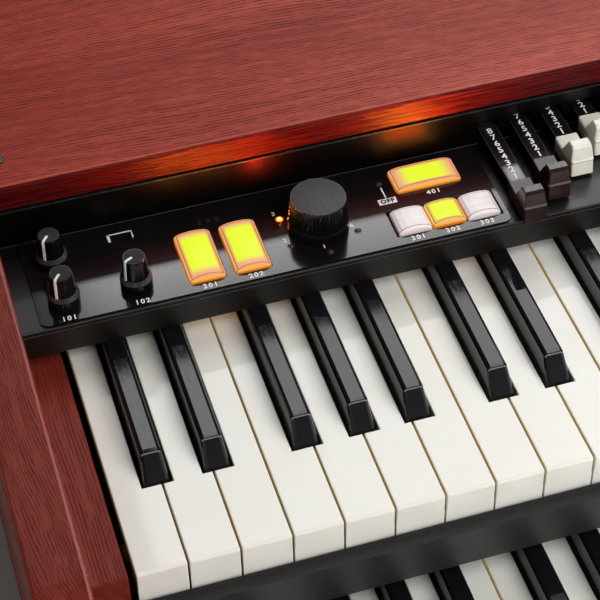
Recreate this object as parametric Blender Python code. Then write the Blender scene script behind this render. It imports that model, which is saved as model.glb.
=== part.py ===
"""Dual-manual drawbar organ: wooden case, two 61-note keyboards, a control panel and its drawbars.

Run it with: blender --background --python part.py
Metres, +Z up, the player sits at -Y. The origin is on the floor under the middle of the case.
"""
import math

import bmesh
import bpy
from mathutils import Vector

MM = 0.001

# Keyboards: both manuals have the same keys
KEY_PITCH = 23.5 * MM
KEY_GAP = 1.0 * MM
NATURALS = 36
KEYBOARD_WIDTH = NATURALS * KEY_PITCH
LOW_C_X = -KEYBOARD_WIDTH / 2
NATURAL_LETTERS = "CDEFGAB"
OCTAVE_WIDTH = len(NATURAL_LETTERS) * KEY_PITCH
HEAD_LENGTH = 45.5 * MM
KEY_THICKNESS = 10 * MM
SKIRT_HEIGHT = 21 * MM
SKIRT_DEPTH = 18 * MM
FRONT_ROUNDING = 1.4 * MM
KEY_EDGE = 0.35 * MM
KEY_LENGTH = 222 * MM
LUG_FRONT = 210 * MM
LUG_REAR = 218 * MM
LUG_DEPTH = 12.7 * MM
FUSED_LUG_DEPTH = 13.6 * MM
PIVOT_Y = 214 * MM
PIVOT_Z = -12 * MM
# Middle of each sharp from the left edge of its octave's C, and the notch it stands in
SHARP_CENTRES = {"c_sharp": 21.35 * MM, "d_sharp": 49.3 * MM, "f_sharp": 91.0 * MM,
                 "g_sharp": 118.1 * MM, "a_sharp": 144.8 * MM}
SHARP_NOTCH = 14.7 * MM
SHARP_BASE_WIDTH = 11.8 * MM
SHARP_TOP_WIDTH = 9.6 * MM
SHARP_HEIGHT = 11.8 * MM
SHARP_FRONT = 47.0 * MM
SHARP_TOP_FRONT = 55.5 * MM
SHARP_TOP_REAR = 146 * MM
SHARP_ROUNDING = 1.6 * MM
JOINTED_KEYS = 17

# The two manuals: height of the white tops and place of the white fronts
UPPER_FRONT_Y = -108 * MM
UPPER_TOP_Z = 146 * MM
MANUAL_SETBACK = 108 * MM
MANUAL_RISE = 66 * MM
UPPER = Vector((LOW_C_X, UPPER_FRONT_Y, UPPER_TOP_Z))
LOWER = UPPER - Vector((0, MANUAL_SETBACK, MANUAL_RISE))

# Case
GAP = 0.3 * MM
SIDE_THICKNESS = 24.5 * MM
CHEEK_ROOM = 21 * MM
INNER_HALF_WIDTH = KEYBOARD_WIDTH / 2 + CHEEK_ROOM
OUTER_HALF_WIDTH = INNER_HALF_WIDTH + SIDE_THICKNESS
CASE_HALF_DEPTH = 242 * MM
FOOT_HEIGHT = 10 * MM
FOOT_RADIUS = 18 * MM
BOARD_THICKNESS = 12 * MM
BASE_TOP_Z = FOOT_HEIGHT + BOARD_THICKNESS
LID_TOP_Z = UPPER_TOP_Z + 64.6 * MM
LID_THICKNESS = 13.8 * MM
LID_FRONT_Y = UPPER_FRONT_Y + 187.2 * MM
SHOULDER_REAR_Y = 84 * MM
ARM_REAR_Y = 60 * MM
ARM_REAR_Z = 191.2 * MM
ARM_FRONT_Y = -122 * MM
ARM_FRONT_Z = 174 * MM
NOSE_BACK_Y = -186 * MM
NOSE_TOP_Z = 107 * MM
NOSE_RADIUS = 14 * MM
EDGE_ROUNDING = 1.8 * MM
FRONT_RAIL_TOP_Z = LOWER.z - 18 * MM
REAR_PANEL_THICKNESS = 12 * MM
REAR_FACE_Y = 240 * MM

# Control panel, measured from the upper manual's low C, white fronts and white tops
PANEL_Z = 28.2 * MM
DECK_TOP = PANEL_Z - 0.9 * MM
DECK_BOTTOM = DECK_TOP - 2.4 * MM
LIP_Y = 127.3 * MM
LIP_LEAN = 1.5 * MM
LIP_THICKNESS = 2.2 * MM
LIP_BOTTOM = 12.3 * MM
RISER_Y = 187.6 * MM
RISER_THICKNESS = 2.5 * MM
RISER_TOP = 50.3 * MM
OVERLAY_THICKNESS = 0.6 * MM
OVERLAY_FRONT = 128.5 * MM
OVERLAY_REAR = 185.7 * MM
OVERLAY_LEFT = -10.6 * MM
OVERLAY_RIGHT = 221.2 * MM
OVERLAY_CORNER = 3.4 * MM

# Controls: middle of each in the panel's measures
KNOB_RADIUS = 5.6 * MM
KNOB_HEIGHT = 18.2 * MM
KNOB_FLANGE_RADIUS = 7.7 * MM
VOLUME_KNOB = (3.1 * MM, 169 * MM)
DRIVE_KNOB = (3.1 * MM, 142.4 * MM)
REVERB_KNOB = (37.8 * MM, 142.4 * MM)
VIBRATO_KNOB = (130.9 * MM, 154.2 * MM)
VIBRATO_RADIUS = 13.7 * MM
VIBRATO_SKIRT_RADIUS = 14.8 * MM
VIBRATO_HEIGHT = 18.5 * MM
VIBRATO_POSITIONS = 6
LAMP_RING_RADIUS = 19.4 * MM
LAMP_RADIUS = 1.8 * MM
ROTARY_LAMP = (167.9 * MM, 172.7 * MM)
SPINDLE_RADIUS = 3 * MM
SPINDLE_LENGTH = 12 * MM
TALL_BUTTON = (17.7 * MM, 33 * MM)
VIBRATO_BUTTONS = ((70.6 * MM, 150.6 * MM), (92.9 * MM, 150.6 * MM))
WIDE_BUTTON = (33.4 * MM, 16.3 * MM)
ROTARY_BUTTON = (191.1 * MM, 171.3 * MM)
SQUARE_BUTTON = (17.2 * MM, 16.1 * MM)
PRESET_BUTTONS = ((174 * MM, 142.8 * MM), (191.6 * MM, 142.8 * MM), (209.2 * MM, 142.8 * MM))
PRESET_BAY = (164.3 * MM, 134 * MM, 219 * MM, 152.4 * MM)
RIGHT_BAY = (728.3 * MM, 134 * MM, 783 * MM, 152.4 * MM)
# Height of a button's arched top above the panel at a distance in from its side
BUTTON_ARCH = ((0, 0.6 * MM), (0.6 * MM, 1.4 * MM), (2.2 * MM, 2.15 * MM), (5.2 * MM, 2.7 * MM))
BUTTON_RISE = 2.9 * MM
# How far a button's ends draw in: distance from the end, inset of the sides, drop of the top
BUTTON_ENDS = ((0, 1.1 * MM, 0.6 * MM), (0.35 * MM, 0.35 * MM, 0.2 * MM), (1.1 * MM, 0, 0))
BUTTON_DEPTH = 9 * MM
HOLE_CORNER = 1.6 * MM
BUTTON_CLEARANCE = 0.45 * MM
RIGHT_TALL_BUTTONS = ((636 * MM, 150.6 * MM), (658.3 * MM, 150.6 * MM),
                      (680.6 * MM, 150.6 * MM), (702.9 * MM, 150.6 * MM))
RIGHT_SQUARE_BUTTONS = ((738 * MM, 142.8 * MM), (755.6 * MM, 142.8 * MM), (773.2 * MM, 142.8 * MM))

# Drawbars: nine for the upper manual, two for the pedals, nine for the lower manual
DRAWBAR_PITCH = 17.2 * MM
DRAWBAR_STEP = 5 * MM
UPPER_DRAWBAR_X = 231 * MM
PEDAL_DRAWBAR_X = KEYBOARD_WIDTH / 2 - DRAWBAR_PITCH / 2
LOWER_DRAWBAR_X = KEYBOARD_WIDTH - UPPER_DRAWBAR_X - 8 * DRAWBAR_PITCH
UPPER_REGISTRATION = (8, 5.7, 3.25, 1.05, 0, 0, 0, 0, 0)
PEDAL_REGISTRATION = (5, 2)
LOWER_REGISTRATION = (8, 6, 3, 1, 0, 0, 0, 0, 0)
UPPER_COLOURS = ("brown", "brown", "white", "white", "black", "white", "black", "black", "white")
PULLED_CAP_REAR = 145.7 * MM
FULL_PULL = 8
CAP_WIDTH = 11.6 * MM
CAP_TOP_WIDTH = 10 * MM
CAP_BOTTOM = 29 * MM
# Side view of a cap: distance in front of its rear edge, and height above the white tops
CAP_PROFILE = ((0, CAP_BOTTOM), (0, 36.8 * MM), (8.3 * MM, 36.2 * MM), (12.7 * MM, 44 * MM),
               (13.9 * MM, 45.1 * MM), (17.9 * MM, 45.1 * MM), (19.3 * MM, 43.8 * MM),
               (20.7 * MM, 37.7 * MM), (21.5 * MM, 36.9 * MM), (21.0 * MM, 36 * MM),
               (22.2 * MM, CAP_BOTTOM))
CAP_SHOULDER = 40.5 * MM
CAP_EDGE = 0.5 * MM
STEM_WIDTH = 9.2 * MM
STEM_TOP = 35.1 * MM
STEM_BOTTOM = 31.9 * MM
STEM_LENGTH = 59 * MM
FUSED_STEM_BOTTOM = 30.8 * MM
SLOT_WIDTH = 11.2 * MM
SLOT_BOTTOM = 31.4 * MM
SLOT_TOP = 41 * MM
SHELF_TOP = 31.2 * MM
SHELF_THICKNESS = 3 * MM
SHELF_REAR = 251.6 * MM

# Keybeds: board and rails under the keys, measured from the white tops
BED_THICKNESS = 6 * MM
BED_REAR = 232 * MM
GUIDE_RAIL = (24 * MM, 34 * MM)
GUIDE_RAIL_TOP = -21 * MM
PIVOT_RAIL = (207 * MM, 221 * MM)
PIVOT_RAIL_TOP = -13 * MM
UPPER_BED_TOP = -34 * MM
LOWER_BED_TOP = BASE_TOP_Z + GAP + BED_THICKNESS - LOWER.z
CHEEK_LENGTH = 150 * MM
CHEEK_KEY_GAP = 3 * MM

# Connectors on the rear, seen from the front
BAY_CENTRE = (-300 * MM, 70 * MM)
BAY_SIZE = (230 * MM, 56 * MM)
PLATE_MARGIN = 5 * MM
PLATE_THICKNESS = 2 * MM
PLATE_REAR_Y = REAR_FACE_Y - REAR_PANEL_THICKNESS - GAP
INLET_X = -385 * MM
INLET_SIZE = (27 * MM, 20 * MM)
INLET_DEPTH = 16 * MM
INLET_WALL = 2 * MM
INLET_PINS = ((-7 * MM, -2 * MM), (0, 3 * MM), (7 * MM, -2 * MM))
SWITCH_X = -345 * MM
SWITCH_HOLE = (13 * MM, 20.4 * MM)
ROCKER_WIDTH = 12.2 * MM
ROCKER_TILT = math.radians(10)
JACK_XS = (-300 * MM, -275 * MM, -250 * MM, -225 * MM)
JACK_BORE = 3.4 * MM
JACK_NUT = 7 * MM
JACK_BARREL = 5.5 * MM
JACK_DEPTH = 17 * MM


def clear_scene():
    for thing in list(bpy.data.objects):
        bpy.data.objects.remove(thing)


def material(name, colour, roughness, metallic=0.0):
    """One Principled material, made once and then shared."""
    if name in bpy.data.materials:
        return bpy.data.materials[name]
    made = bpy.data.materials.new(name)
    made.use_nodes = True
    shader = made.node_tree.nodes["Principled BSDF"]
    shader.inputs["Base Color"].default_value = (*colour, 1)
    shader.inputs["Roughness"].default_value = roughness
    shader.inputs["Metallic"].default_value = metallic
    return made


def cherry_wood():
    return material("cherry_wood", (0.30, 0.045, 0.035), 0.35)


def black_metal():
    return material("black_metal", (0.012, 0.012, 0.014), 0.25)


def cream_plastic():
    return material("cream_plastic", (0.80, 0.78, 0.70), 0.15)


def black_plastic():
    return material("black_plastic", (0.01, 0.01, 0.012), 0.2)


def dark_rubber():
    return material("dark_rubber", (0.02, 0.02, 0.02), 0.8)


def chassis_steel():
    return material("chassis_steel", (0.08, 0.08, 0.09), 0.4, 0.8)


def add_object(name, bm, finish, origin=(0, 0, 0)):
    """Turn a bmesh in world coordinates into an object whose origin is at the given point."""
    bmesh.ops.recalc_face_normals(bm, faces=bm.faces)
    bmesh.ops.translate(bm, verts=bm.verts, vec=-Vector(origin))
    mesh = bpy.data.meshes.new(name)
    bm.to_mesh(mesh)
    bm.free()
    thing = bpy.data.objects.new(name, mesh)
    thing.location = origin
    thing.data.materials.append(finish)
    bpy.context.scene.collection.objects.link(thing)
    return thing


def combine(thing, bm, operation):
    """Apply a Boolean of the thing with the solids in a bmesh (world coordinates)."""
    tool = add_object("tool", bm, thing.data.materials[0])
    modifier = thing.modifiers.new("Combine", "BOOLEAN")
    modifier.object = tool
    modifier.operation = operation
    bpy.context.view_layer.update()
    evaluated = thing.evaluated_get(bpy.context.evaluated_depsgraph_get())
    result = bpy.data.meshes.new_from_object(evaluated)
    thing.modifiers.clear()
    thing.data = result
    bpy.data.objects.remove(tool)


def smooth(thing, angle=math.radians(35)):
    thing.data.shade_smooth()
    thing.data.set_sharp_from_angle(angle=angle)


def add_box(bm, low, high):
    """Add a closed box between two corners and return its vertices."""
    corners = [bm.verts.new((x, y, z)) for z in (low[2], high[2])
               for x, y in ((low[0], low[1]), (high[0], low[1]), (high[0], high[1]), (low[0], high[1]))]
    sides = [(0, 3, 2, 1), (4, 5, 6, 7)] + [(i, (i + 1) % 4, (i + 1) % 4 + 4, i + 4) for i in range(4)]
    for side in sides:
        bm.faces.new([corners[i] for i in side])
    return corners


def add_layers(bm, loops):
    """Skin a stack of closed loops with equal counts and close both ends."""
    rings = [[bm.verts.new(point) for point in loop] for loop in loops]
    count = len(rings[0])
    for lower, upper in zip(rings, rings[1:]):
        for i in range(count):
            after = (i + 1) % count
            bm.faces.new((lower[i], lower[after], upper[after], upper[i]))
    bm.faces.new(list(reversed(rings[0])))
    bm.faces.new(rings[-1])
    return rings


def add_side_profile(bm, profile, x_low, x_high):
    """Extrude a profile of (y, z) points along X and return the two end rings."""
    return add_layers(bm, [[(x, y, z) for y, z in profile] for x in (x_low, x_high)])


def add_turned(bm, profile, centre, segments, flute=0.0):
    """Turn (radius, height) points about a vertical axis; flute is the share by which every other
    column is drawn in."""
    loops = []
    for radius, height, fluted in profile:
        loop = []
        for i in range(segments):
            angle = math.tau * i / segments
            reach = radius * (1 - flute * (i % 2)) if fluted else radius
            loop.append((centre[0] + reach * math.cos(angle), centre[1] + reach * math.sin(angle), height))
        loops.append(loop)
    add_layers(bm, loops)


def add_rod(bm, start, end, radius, segments=12):
    """Add a closed round rod between two points."""
    axis = (Vector(end) - Vector(start)).normalized()
    side = axis.orthogonal().normalized()
    other = axis.cross(side)
    loops = []
    for point in (Vector(start), Vector(end)):
        angles = [math.tau * i / segments for i in range(segments)]
        loops.append([point + radius * (side * math.cos(a) + other * math.sin(a)) for a in angles])
    add_layers(bm, loops)


def rounded_outline(x_low, y_low, x_high, y_high, corner, inset=0.0, steps=3):
    """Corner points of a rectangle with rounded corners, counter-clockwise from above."""
    reach = max(corner - inset, 0.1 * MM)
    centres = ((x_high - inset - reach, y_high - inset - reach, 0), (x_low + inset + reach, y_high - inset - reach, 1),
               (x_low + inset + reach, y_low + inset + reach, 2), (x_high - inset - reach, y_low + inset + reach, 3))
    points = []
    for cx, cy, quarter in centres:
        for step in range(steps + 1):
            angle = math.pi / 2 * (quarter + step / steps)
            points.append((cx + reach * math.cos(angle), cy + reach * math.sin(angle)))
    return points


def on_panel(x, y, z=PANEL_Z):
    """World place of a point given in the panel's measures."""
    return UPPER + Vector((x, y, z))


# Case


def side_profile():
    """Outline of a side panel: flat at the lid, a shoulder down to a sloping arm, then down to a low nose."""
    points = [(CASE_HALF_DEPTH, FOOT_HEIGHT), (CASE_HALF_DEPTH, LID_TOP_Z)]
    falls = (((SHOULDER_REAR_Y, LID_TOP_Z), (ARM_REAR_Y, ARM_REAR_Z)),
             ((ARM_FRONT_Y, ARM_FRONT_Z), (NOSE_BACK_Y, NOSE_TOP_Z)))
    steps = 8
    for (start_y, start_z), (end_y, end_z) in falls:
        for step in range(steps + 1):
            share = step / steps
            drop = (1 - math.cos(math.pi * share)) / 2
            points.append((start_y + (end_y - start_y) * share, start_z + (end_z - start_z) * drop))
    centre_y = -CASE_HALF_DEPTH + NOSE_RADIUS
    centre_z = NOSE_TOP_Z - NOSE_RADIUS
    for step in range(5):
        angle = math.pi / 2 * (1 + step / 4)
        points.append((centre_y + NOSE_RADIUS * math.cos(angle), centre_z + NOSE_RADIUS * math.sin(angle)))
    points.append((-CASE_HALF_DEPTH, FOOT_HEIGHT))
    return points


def build_side_panel(name, side):
    """One wooden side; side is -1 at the bass end and 1 at the treble end."""
    bm = bmesh.new()
    rings = add_side_profile(bm, side_profile(), side * INNER_HALF_WIDTH, side * OUTER_HALF_WIDTH)
    rim = [edge for edge in bm.edges if any(set(edge.verts) <= set(ring) for ring in rings)]
    bmesh.ops.bevel(bm, geom=rim, offset=EDGE_ROUNDING, segments=2, profile=0.5, affect="EDGES")
    smooth(add_object(name, bm, cherry_wood()), math.radians(40))


def build_base():
    bm = bmesh.new()
    width = INNER_HALF_WIDTH - GAP
    front = -CASE_HALF_DEPTH + 26 * MM
    add_box(bm, (-width, front, FOOT_HEIGHT), (width, REAR_FACE_Y - REAR_PANEL_THICKNESS - GAP, BASE_TOP_Z))
    add_object("base_board", bm, material("board", (0.05, 0.035, 0.03), 0.7))
    foot_x = INNER_HALF_WIDTH - 45 * MM
    places = {"front_left_foot": (-foot_x, -175 * MM), "front_right_foot": (foot_x, -175 * MM),
              "rear_left_foot": (-foot_x, 185 * MM), "rear_right_foot": (foot_x, 185 * MM)}
    for name, place in places.items():
        bm = bmesh.new()
        top = FOOT_HEIGHT - GAP
        profile = ((FOOT_RADIUS - 3 * MM, 0, False), (FOOT_RADIUS - 2 * MM, 1 * MM, False),
                   (FOOT_RADIUS, top, False))
        add_turned(bm, profile, place, 24)
        smooth(add_object(name, bm, dark_rubber()))


def build_lid():
    bm = bmesh.new()
    width = INNER_HALF_WIDTH - GAP
    top = LID_TOP_Z
    bottom = LID_TOP_Z - LID_THICKNESS
    chamfer = 1.6 * MM
    profile = [(LID_FRONT_Y, bottom), (CASE_HALF_DEPTH, bottom), (CASE_HALF_DEPTH, top - chamfer),
               (CASE_HALF_DEPTH - chamfer, top), (LID_FRONT_Y + chamfer, top),
               (LID_FRONT_Y + 0.4 * MM, top - 0.5 * MM), (LID_FRONT_Y, top - chamfer)]
    add_side_profile(bm, profile, -width, width)
    add_object("top_lid", bm, cherry_wood())


def build_front_rail():
    """Wooden rail in front of the lower keys, with a rounded upper front edge."""
    bm = bmesh.new()
    rounding = 6 * MM
    front = -CASE_HALF_DEPTH
    rear = LOWER.y - 1.2 * MM
    profile = [(rear, FOOT_HEIGHT), (rear, FRONT_RAIL_TOP_Z)]
    for step in range(5):
        angle = math.pi / 2 * (1 + step / 4)
        profile.append((front + rounding + rounding * math.cos(angle),
                        FRONT_RAIL_TOP_Z - rounding + rounding * math.sin(angle)))
    profile.append((front, FOOT_HEIGHT))
    add_side_profile(bm, profile, -INNER_HALF_WIDTH + GAP, INNER_HALF_WIDTH - GAP)
    smooth(add_object("front_rail", bm, cherry_wood()))


def build_rear_panel():
    bm = bmesh.new()
    width = INNER_HALF_WIDTH - GAP
    front = REAR_FACE_Y - REAR_PANEL_THICKNESS
    add_box(bm, (-width, front, FOOT_HEIGHT), (width, REAR_FACE_Y, LID_TOP_Z - LID_THICKNESS - GAP))
    panel = add_object("rear_panel", bm, material("rear_paint", (0.015, 0.015, 0.015), 0.5))
    bm = bmesh.new()
    low_x = BAY_CENTRE[0] - BAY_SIZE[0] / 2
    low_z = BAY_CENTRE[1] - BAY_SIZE[1] / 2
    outline = rounded_outline(low_x, low_z, low_x + BAY_SIZE[0], low_z + BAY_SIZE[1], 6 * MM)
    add_layers(bm, [[(x, y, z) for x, z in outline] for y in (front - 5 * MM, REAR_FACE_Y + 5 * MM)])
    combine(panel, bm, "DIFFERENCE")


def build_key_slip():
    """Black rail that hides the foot of the upper keys and turns back under their keybed."""
    bm = bmesh.new()
    outline = ((-1.0, -17.8), (-7.0, -19.4), (-7.4, -20.0), (-7.4, -43.5), (-6.4, -44.5), (60, -44.5),
               (60, -40.3), (-1.0, -40.3))
    profile = [(UPPER.y + y * MM, UPPER.z + z * MM) for y, z in outline]
    add_side_profile(bm, profile, -INNER_HALF_WIDTH + GAP, INNER_HALF_WIDTH - GAP)
    add_object("upper_key_slip", bm, black_metal())


def build_cheeks():
    """Wooden blocks between the outermost keys and the side panels."""
    manuals = {"upper": (UPPER, UPPER_BED_TOP), "lower": (LOWER, LOWER_BED_TOP)}
    inner = KEYBOARD_WIDTH / 2 + CHEEK_KEY_GAP
    outer = INNER_HALF_WIDTH - GAP
    for manual, (corner, bed_top) in manuals.items():
        for side_name, low_x, high_x in (("left", -outer, -inner), ("right", inner, outer)):
            bm = bmesh.new()
            add_box(bm, (low_x, corner.y, corner.z + bed_top + GAP),
                    (high_x, corner.y + CHEEK_LENGTH, corner.z))
            top_edges = [edge for edge in bm.edges if all(v.co.z > corner.z - MM for v in edge.verts)]
            bmesh.ops.bevel(bm, geom=top_edges, offset=0.8 * MM, segments=2, profile=0.5, affect="EDGES")
            add_object(f"{manual}_{side_name}_cheek", bm, cherry_wood())


# Keyboards


def key_list():
    """Every key of a manual from low C up: its name, and its middle for a sharp or index for a natural."""
    keys = []
    for index in range(NATURALS):
        octave, step = divmod(index, len(NATURAL_LETTERS))
        letter = NATURAL_LETTERS[step].lower()
        keys.append({"name": f"{letter}{octave + 1}", "natural": index})
        sharp = f"{letter}_sharp"
        if sharp in SHARP_CENTRES and index < NATURALS - 1:
            middle = octave * OCTAVE_WIDTH + SHARP_CENTRES[sharp]
            keys.append({"name": f"{sharp}{octave + 1}", "middle": middle})
    return keys


def sharp_middles():
    return [key["middle"] for key in key_list() if "middle" in key]


def natural_sides(index):
    """Left and right of a natural's head and of its tail, from the low C's left edge."""
    left = index * KEY_PITCH + KEY_GAP / 2
    right = (index + 1) * KEY_PITCH - KEY_GAP / 2
    tail_left = left
    tail_right = right
    for middle in sharp_middles():
        if abs(middle - index * KEY_PITCH) < KEY_PITCH / 2:
            tail_left = middle + SHARP_NOTCH / 2
        if abs(middle - (index + 1) * KEY_PITCH) < KEY_PITCH / 2:
            tail_right = middle - SHARP_NOTCH / 2
    return left, right, tail_left, tail_right


def round_edges(bm, edges, radius, segments):
    """Round some edges of a closed mesh, once its normals all point outwards."""
    bmesh.ops.recalc_face_normals(bm, faces=bm.faces)
    bmesh.ops.bevel(bm, geom=edges, offset=radius, segments=segments, profile=0.5, affect="EDGES")


def merge(bm, piece):
    """Move everything in one bmesh into another."""
    mesh = bpy.data.meshes.new("piece")
    piece.to_mesh(mesh)
    piece.free()
    bm.from_mesh(mesh)
    bpy.data.meshes.remove(mesh)


def hang_box(bm, quad, depth):
    """Extend four vertices of an open bottom downwards and close the box they make."""
    lower = [bm.verts.new(vert.co - Vector((0, 0, depth))) for vert in quad]
    for i in range(4):
        after = (i + 1) % 4
        bm.faces.new((quad[i], quad[after], lower[after], lower[i]))
    bm.faces.new(lower)


def add_natural(bm, corner, index, lug_depth):
    """A white key: wide head with a deep front skirt, narrow tail and a pivot lug below its end."""
    left, right, tail_left, tail_right = natural_sides(index)
    stations = (0, SKIRT_DEPTH, HEAD_LENGTH, HEAD_LENGTH, LUG_FRONT, LUG_REAR, KEY_LENGTH)
    rights = [(right if i < 3 else tail_right, y) for i, y in enumerate(stations)]
    lefts = [(left if i < 3 else tail_left, y) for i, y in enumerate(stations)]
    if tail_right == right:
        del rights[3]
    if tail_left == left:
        del lefts[3]
    tops = {}
    bottoms = {}
    for x, y in rights + lefts:
        tops[x, y] = bm.verts.new(corner + Vector((x, y, 0)))
        bottoms[x, y] = bm.verts.new(corner + Vector((x, y, -KEY_THICKNESS)))
    outline = rights + lefts[::-1]
    bm.faces.new([tops[point] for point in outline])
    for start, end in zip(outline, outline[1:] + outline[:1]):
        bm.faces.new((tops[start], tops[end], bottoms[end], bottoms[start]))
    middle = rights[1:-2] + lefts[1:-2][::-1]
    bm.faces.new([bottoms[point] for point in middle])
    bm.faces.new([bottoms[point] for point in (rights[-2], rights[-1], lefts[-1], lefts[-2])])
    skirt = [bottoms[point] for point in (rights[0], rights[1], lefts[1], lefts[0])]
    lug = [bottoms[point] for point in (rights[-3], rights[-2], lefts[-2], lefts[-3])]
    hang_box(bm, skirt, SKIRT_HEIGHT - KEY_THICKNESS)
    hang_box(bm, lug, lug_depth - KEY_THICKNESS)
    front = bm.edges.get((tops[rights[0]], tops[lefts[0]]))
    round_edges(bm, [front], FRONT_ROUNDING, 3)
    lowest = corner.z - FRONT_ROUNDING * 1.1
    rearmost = corner.y + KEY_LENGTH - KEY_EDGE
    rim = [edge for edge in bm.edges if edge.calc_face_angle() > math.radians(60)
           and min(vert.co.z for vert in edge.verts) > lowest and min(vert.co.y for vert in edge.verts) < rearmost]
    uprights = [edge for vert in {vert for edge in rim for vert in edge.verts} for edge in vert.link_edges
                if vert.co.y < corner.y + KEY_EDGE and edge.calc_face_angle() > math.radians(60)]
    round_edges(bm, list(set(rim + uprights)), KEY_EDGE, 1)


def add_sharp(bm, corner, middle, lug_depth):
    """A black key: tapered head with a sloping front and rounded edges, low tail and a pivot lug."""
    half = SHARP_BASE_WIDTH / 2
    top_half = SHARP_TOP_WIDTH / 2
    stations = (SHARP_FRONT, SHARP_TOP_REAR, LUG_FRONT, LUG_REAR, KEY_LENGTH)

    def ring(z, places, reach):
        pairs = []
        for y in places:
            pairs.append([bm.verts.new(corner + Vector((middle + sign * reach, y, z))) for sign in (1, -1)])
        return pairs

    base = ring(0, stations, half)
    bottom = ring(-KEY_THICKNESS, stations, half)
    head = ring(SHARP_HEIGHT, (SHARP_TOP_FRONT, SHARP_TOP_REAR), top_half)
    last = len(stations) - 1
    for i in range(last):
        for side in (0, 1):
            bm.faces.new((base[i][side], base[i + 1][side], bottom[i + 1][side], bottom[i][side]))
        if i > 0:
            bm.faces.new((base[i][0], base[i + 1][0], base[i + 1][1], base[i][1]))
        if i != 2:
            bm.faces.new((bottom[i][0], bottom[i + 1][0], bottom[i + 1][1], bottom[i][1]))
    for end in (0, last):
        bm.faces.new((base[end][0], base[end][1], bottom[end][1], bottom[end][0]))
    hang_box(bm, [bottom[2][0], bottom[3][0], bottom[3][1], bottom[2][1]], lug_depth - KEY_THICKNESS)
    for side in (0, 1):
        bm.faces.new((base[0][side], base[1][side], head[1][side], head[0][side]))
        bm.faces.new((base[side][0], base[side][1], head[side][1], head[side][0]))
    bm.faces.new((head[0][0], head[0][1], head[1][1], head[1][0]))
    rounded = [bm.edges.get(pair) for pair in ((head[0][0], head[0][1]), (head[0][0], head[1][0]),
                                               (head[0][1], head[1][1]), (head[0][0], base[0][0]),
                                               (head[0][1], base[0][1]))]
    round_edges(bm, rounded, SHARP_ROUNDING, 2)


def add_key(bm, corner, key, lug_depth):
    piece = bmesh.new()
    if "natural" in key:
        add_natural(piece, corner, key["natural"], lug_depth)
    else:
        add_sharp(piece, corner, key["middle"], lug_depth)
    merge(bm, piece)


def build_jointed_keys():
    """The upper manual's lowest keys, each on its own pivot."""
    for key in key_list()[:JOINTED_KEYS]:
        bm = bmesh.new()
        add_key(bm, UPPER, key, LUG_DEPTH)
        middle = key["middle"] if "middle" in key else (key["natural"] + 0.5) * KEY_PITCH
        finish = black_plastic() if "middle" in key else cream_plastic()
        pivot = UPPER + Vector((middle, PIVOT_Y, PIVOT_Z))
        add_object(f"upper_key_{key['name']}", bm, finish, pivot)


def build_keyboard(name, corner, bed_top, keys, bed_front):
    """A keybed with its guide rail and pivot rail, and the keys whose lugs are one with the rail."""
    bm = bmesh.new()
    width = INNER_HALF_WIDTH - GAP
    add_box(bm, (-width, corner.y + bed_front, corner.z + bed_top - BED_THICKNESS),
            (width, corner.y + BED_REAR, corner.z + bed_top))
    keyboard = add_object(name, bm, chassis_steel())
    bm = bmesh.new()
    for (front, rear), top in ((GUIDE_RAIL, GUIDE_RAIL_TOP), (PIVOT_RAIL, PIVOT_RAIL_TOP)):
        add_box(bm, (-KEYBOARD_WIDTH / 2, corner.y + front, corner.z + bed_top - 2 * MM),
                (KEYBOARD_WIDTH / 2, corner.y + rear, corner.z + top))
    combine(keyboard, bm, "UNION")
    bm = bmesh.new()
    for key in keys:
        add_key(bm, corner, key, FUSED_LUG_DEPTH)
    combine(keyboard, bm, "UNION")


# Control panel


def panel_profile():
    """Bent sheet in side view: lip leaning forward over the sharps, flat deck, upright riser."""
    lip_front = LIP_Y - LIP_LEAN
    points = ((lip_front, LIP_BOTTOM), (LIP_Y, DECK_TOP - 0.4 * MM), (LIP_Y + 0.4 * MM, DECK_TOP),
              (RISER_Y, DECK_TOP), (RISER_Y, RISER_TOP), (RISER_Y + RISER_THICKNESS, RISER_TOP),
              (RISER_Y + RISER_THICKNESS, DECK_BOTTOM), (LIP_Y + LIP_THICKNESS, DECK_BOTTOM),
              (lip_front + LIP_THICKNESS, LIP_BOTTOM))
    return [(UPPER.y + y, UPPER.z + z) for y, z in points]


def drawbar_places():
    """Middle, registration and set of each drawbar, from the bass end."""
    sets = (("upper", UPPER_DRAWBAR_X, UPPER_REGISTRATION), ("pedal", PEDAL_DRAWBAR_X, PEDAL_REGISTRATION),
            ("lower", LOWER_DRAWBAR_X, LOWER_REGISTRATION))
    places = []
    for name, first, registration in sets:
        for number, pulled in enumerate(registration):
            places.append({"set": name, "number": number, "x": first + number * DRAWBAR_PITCH, "pulled": pulled})
    return places


def cap_rear(pulled):
    """Distance of a cap's rear edge behind the white fronts for a registration of 0 to 8."""
    return PULLED_CAP_REAR + (FULL_PULL - pulled) * DRAWBAR_STEP


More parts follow.
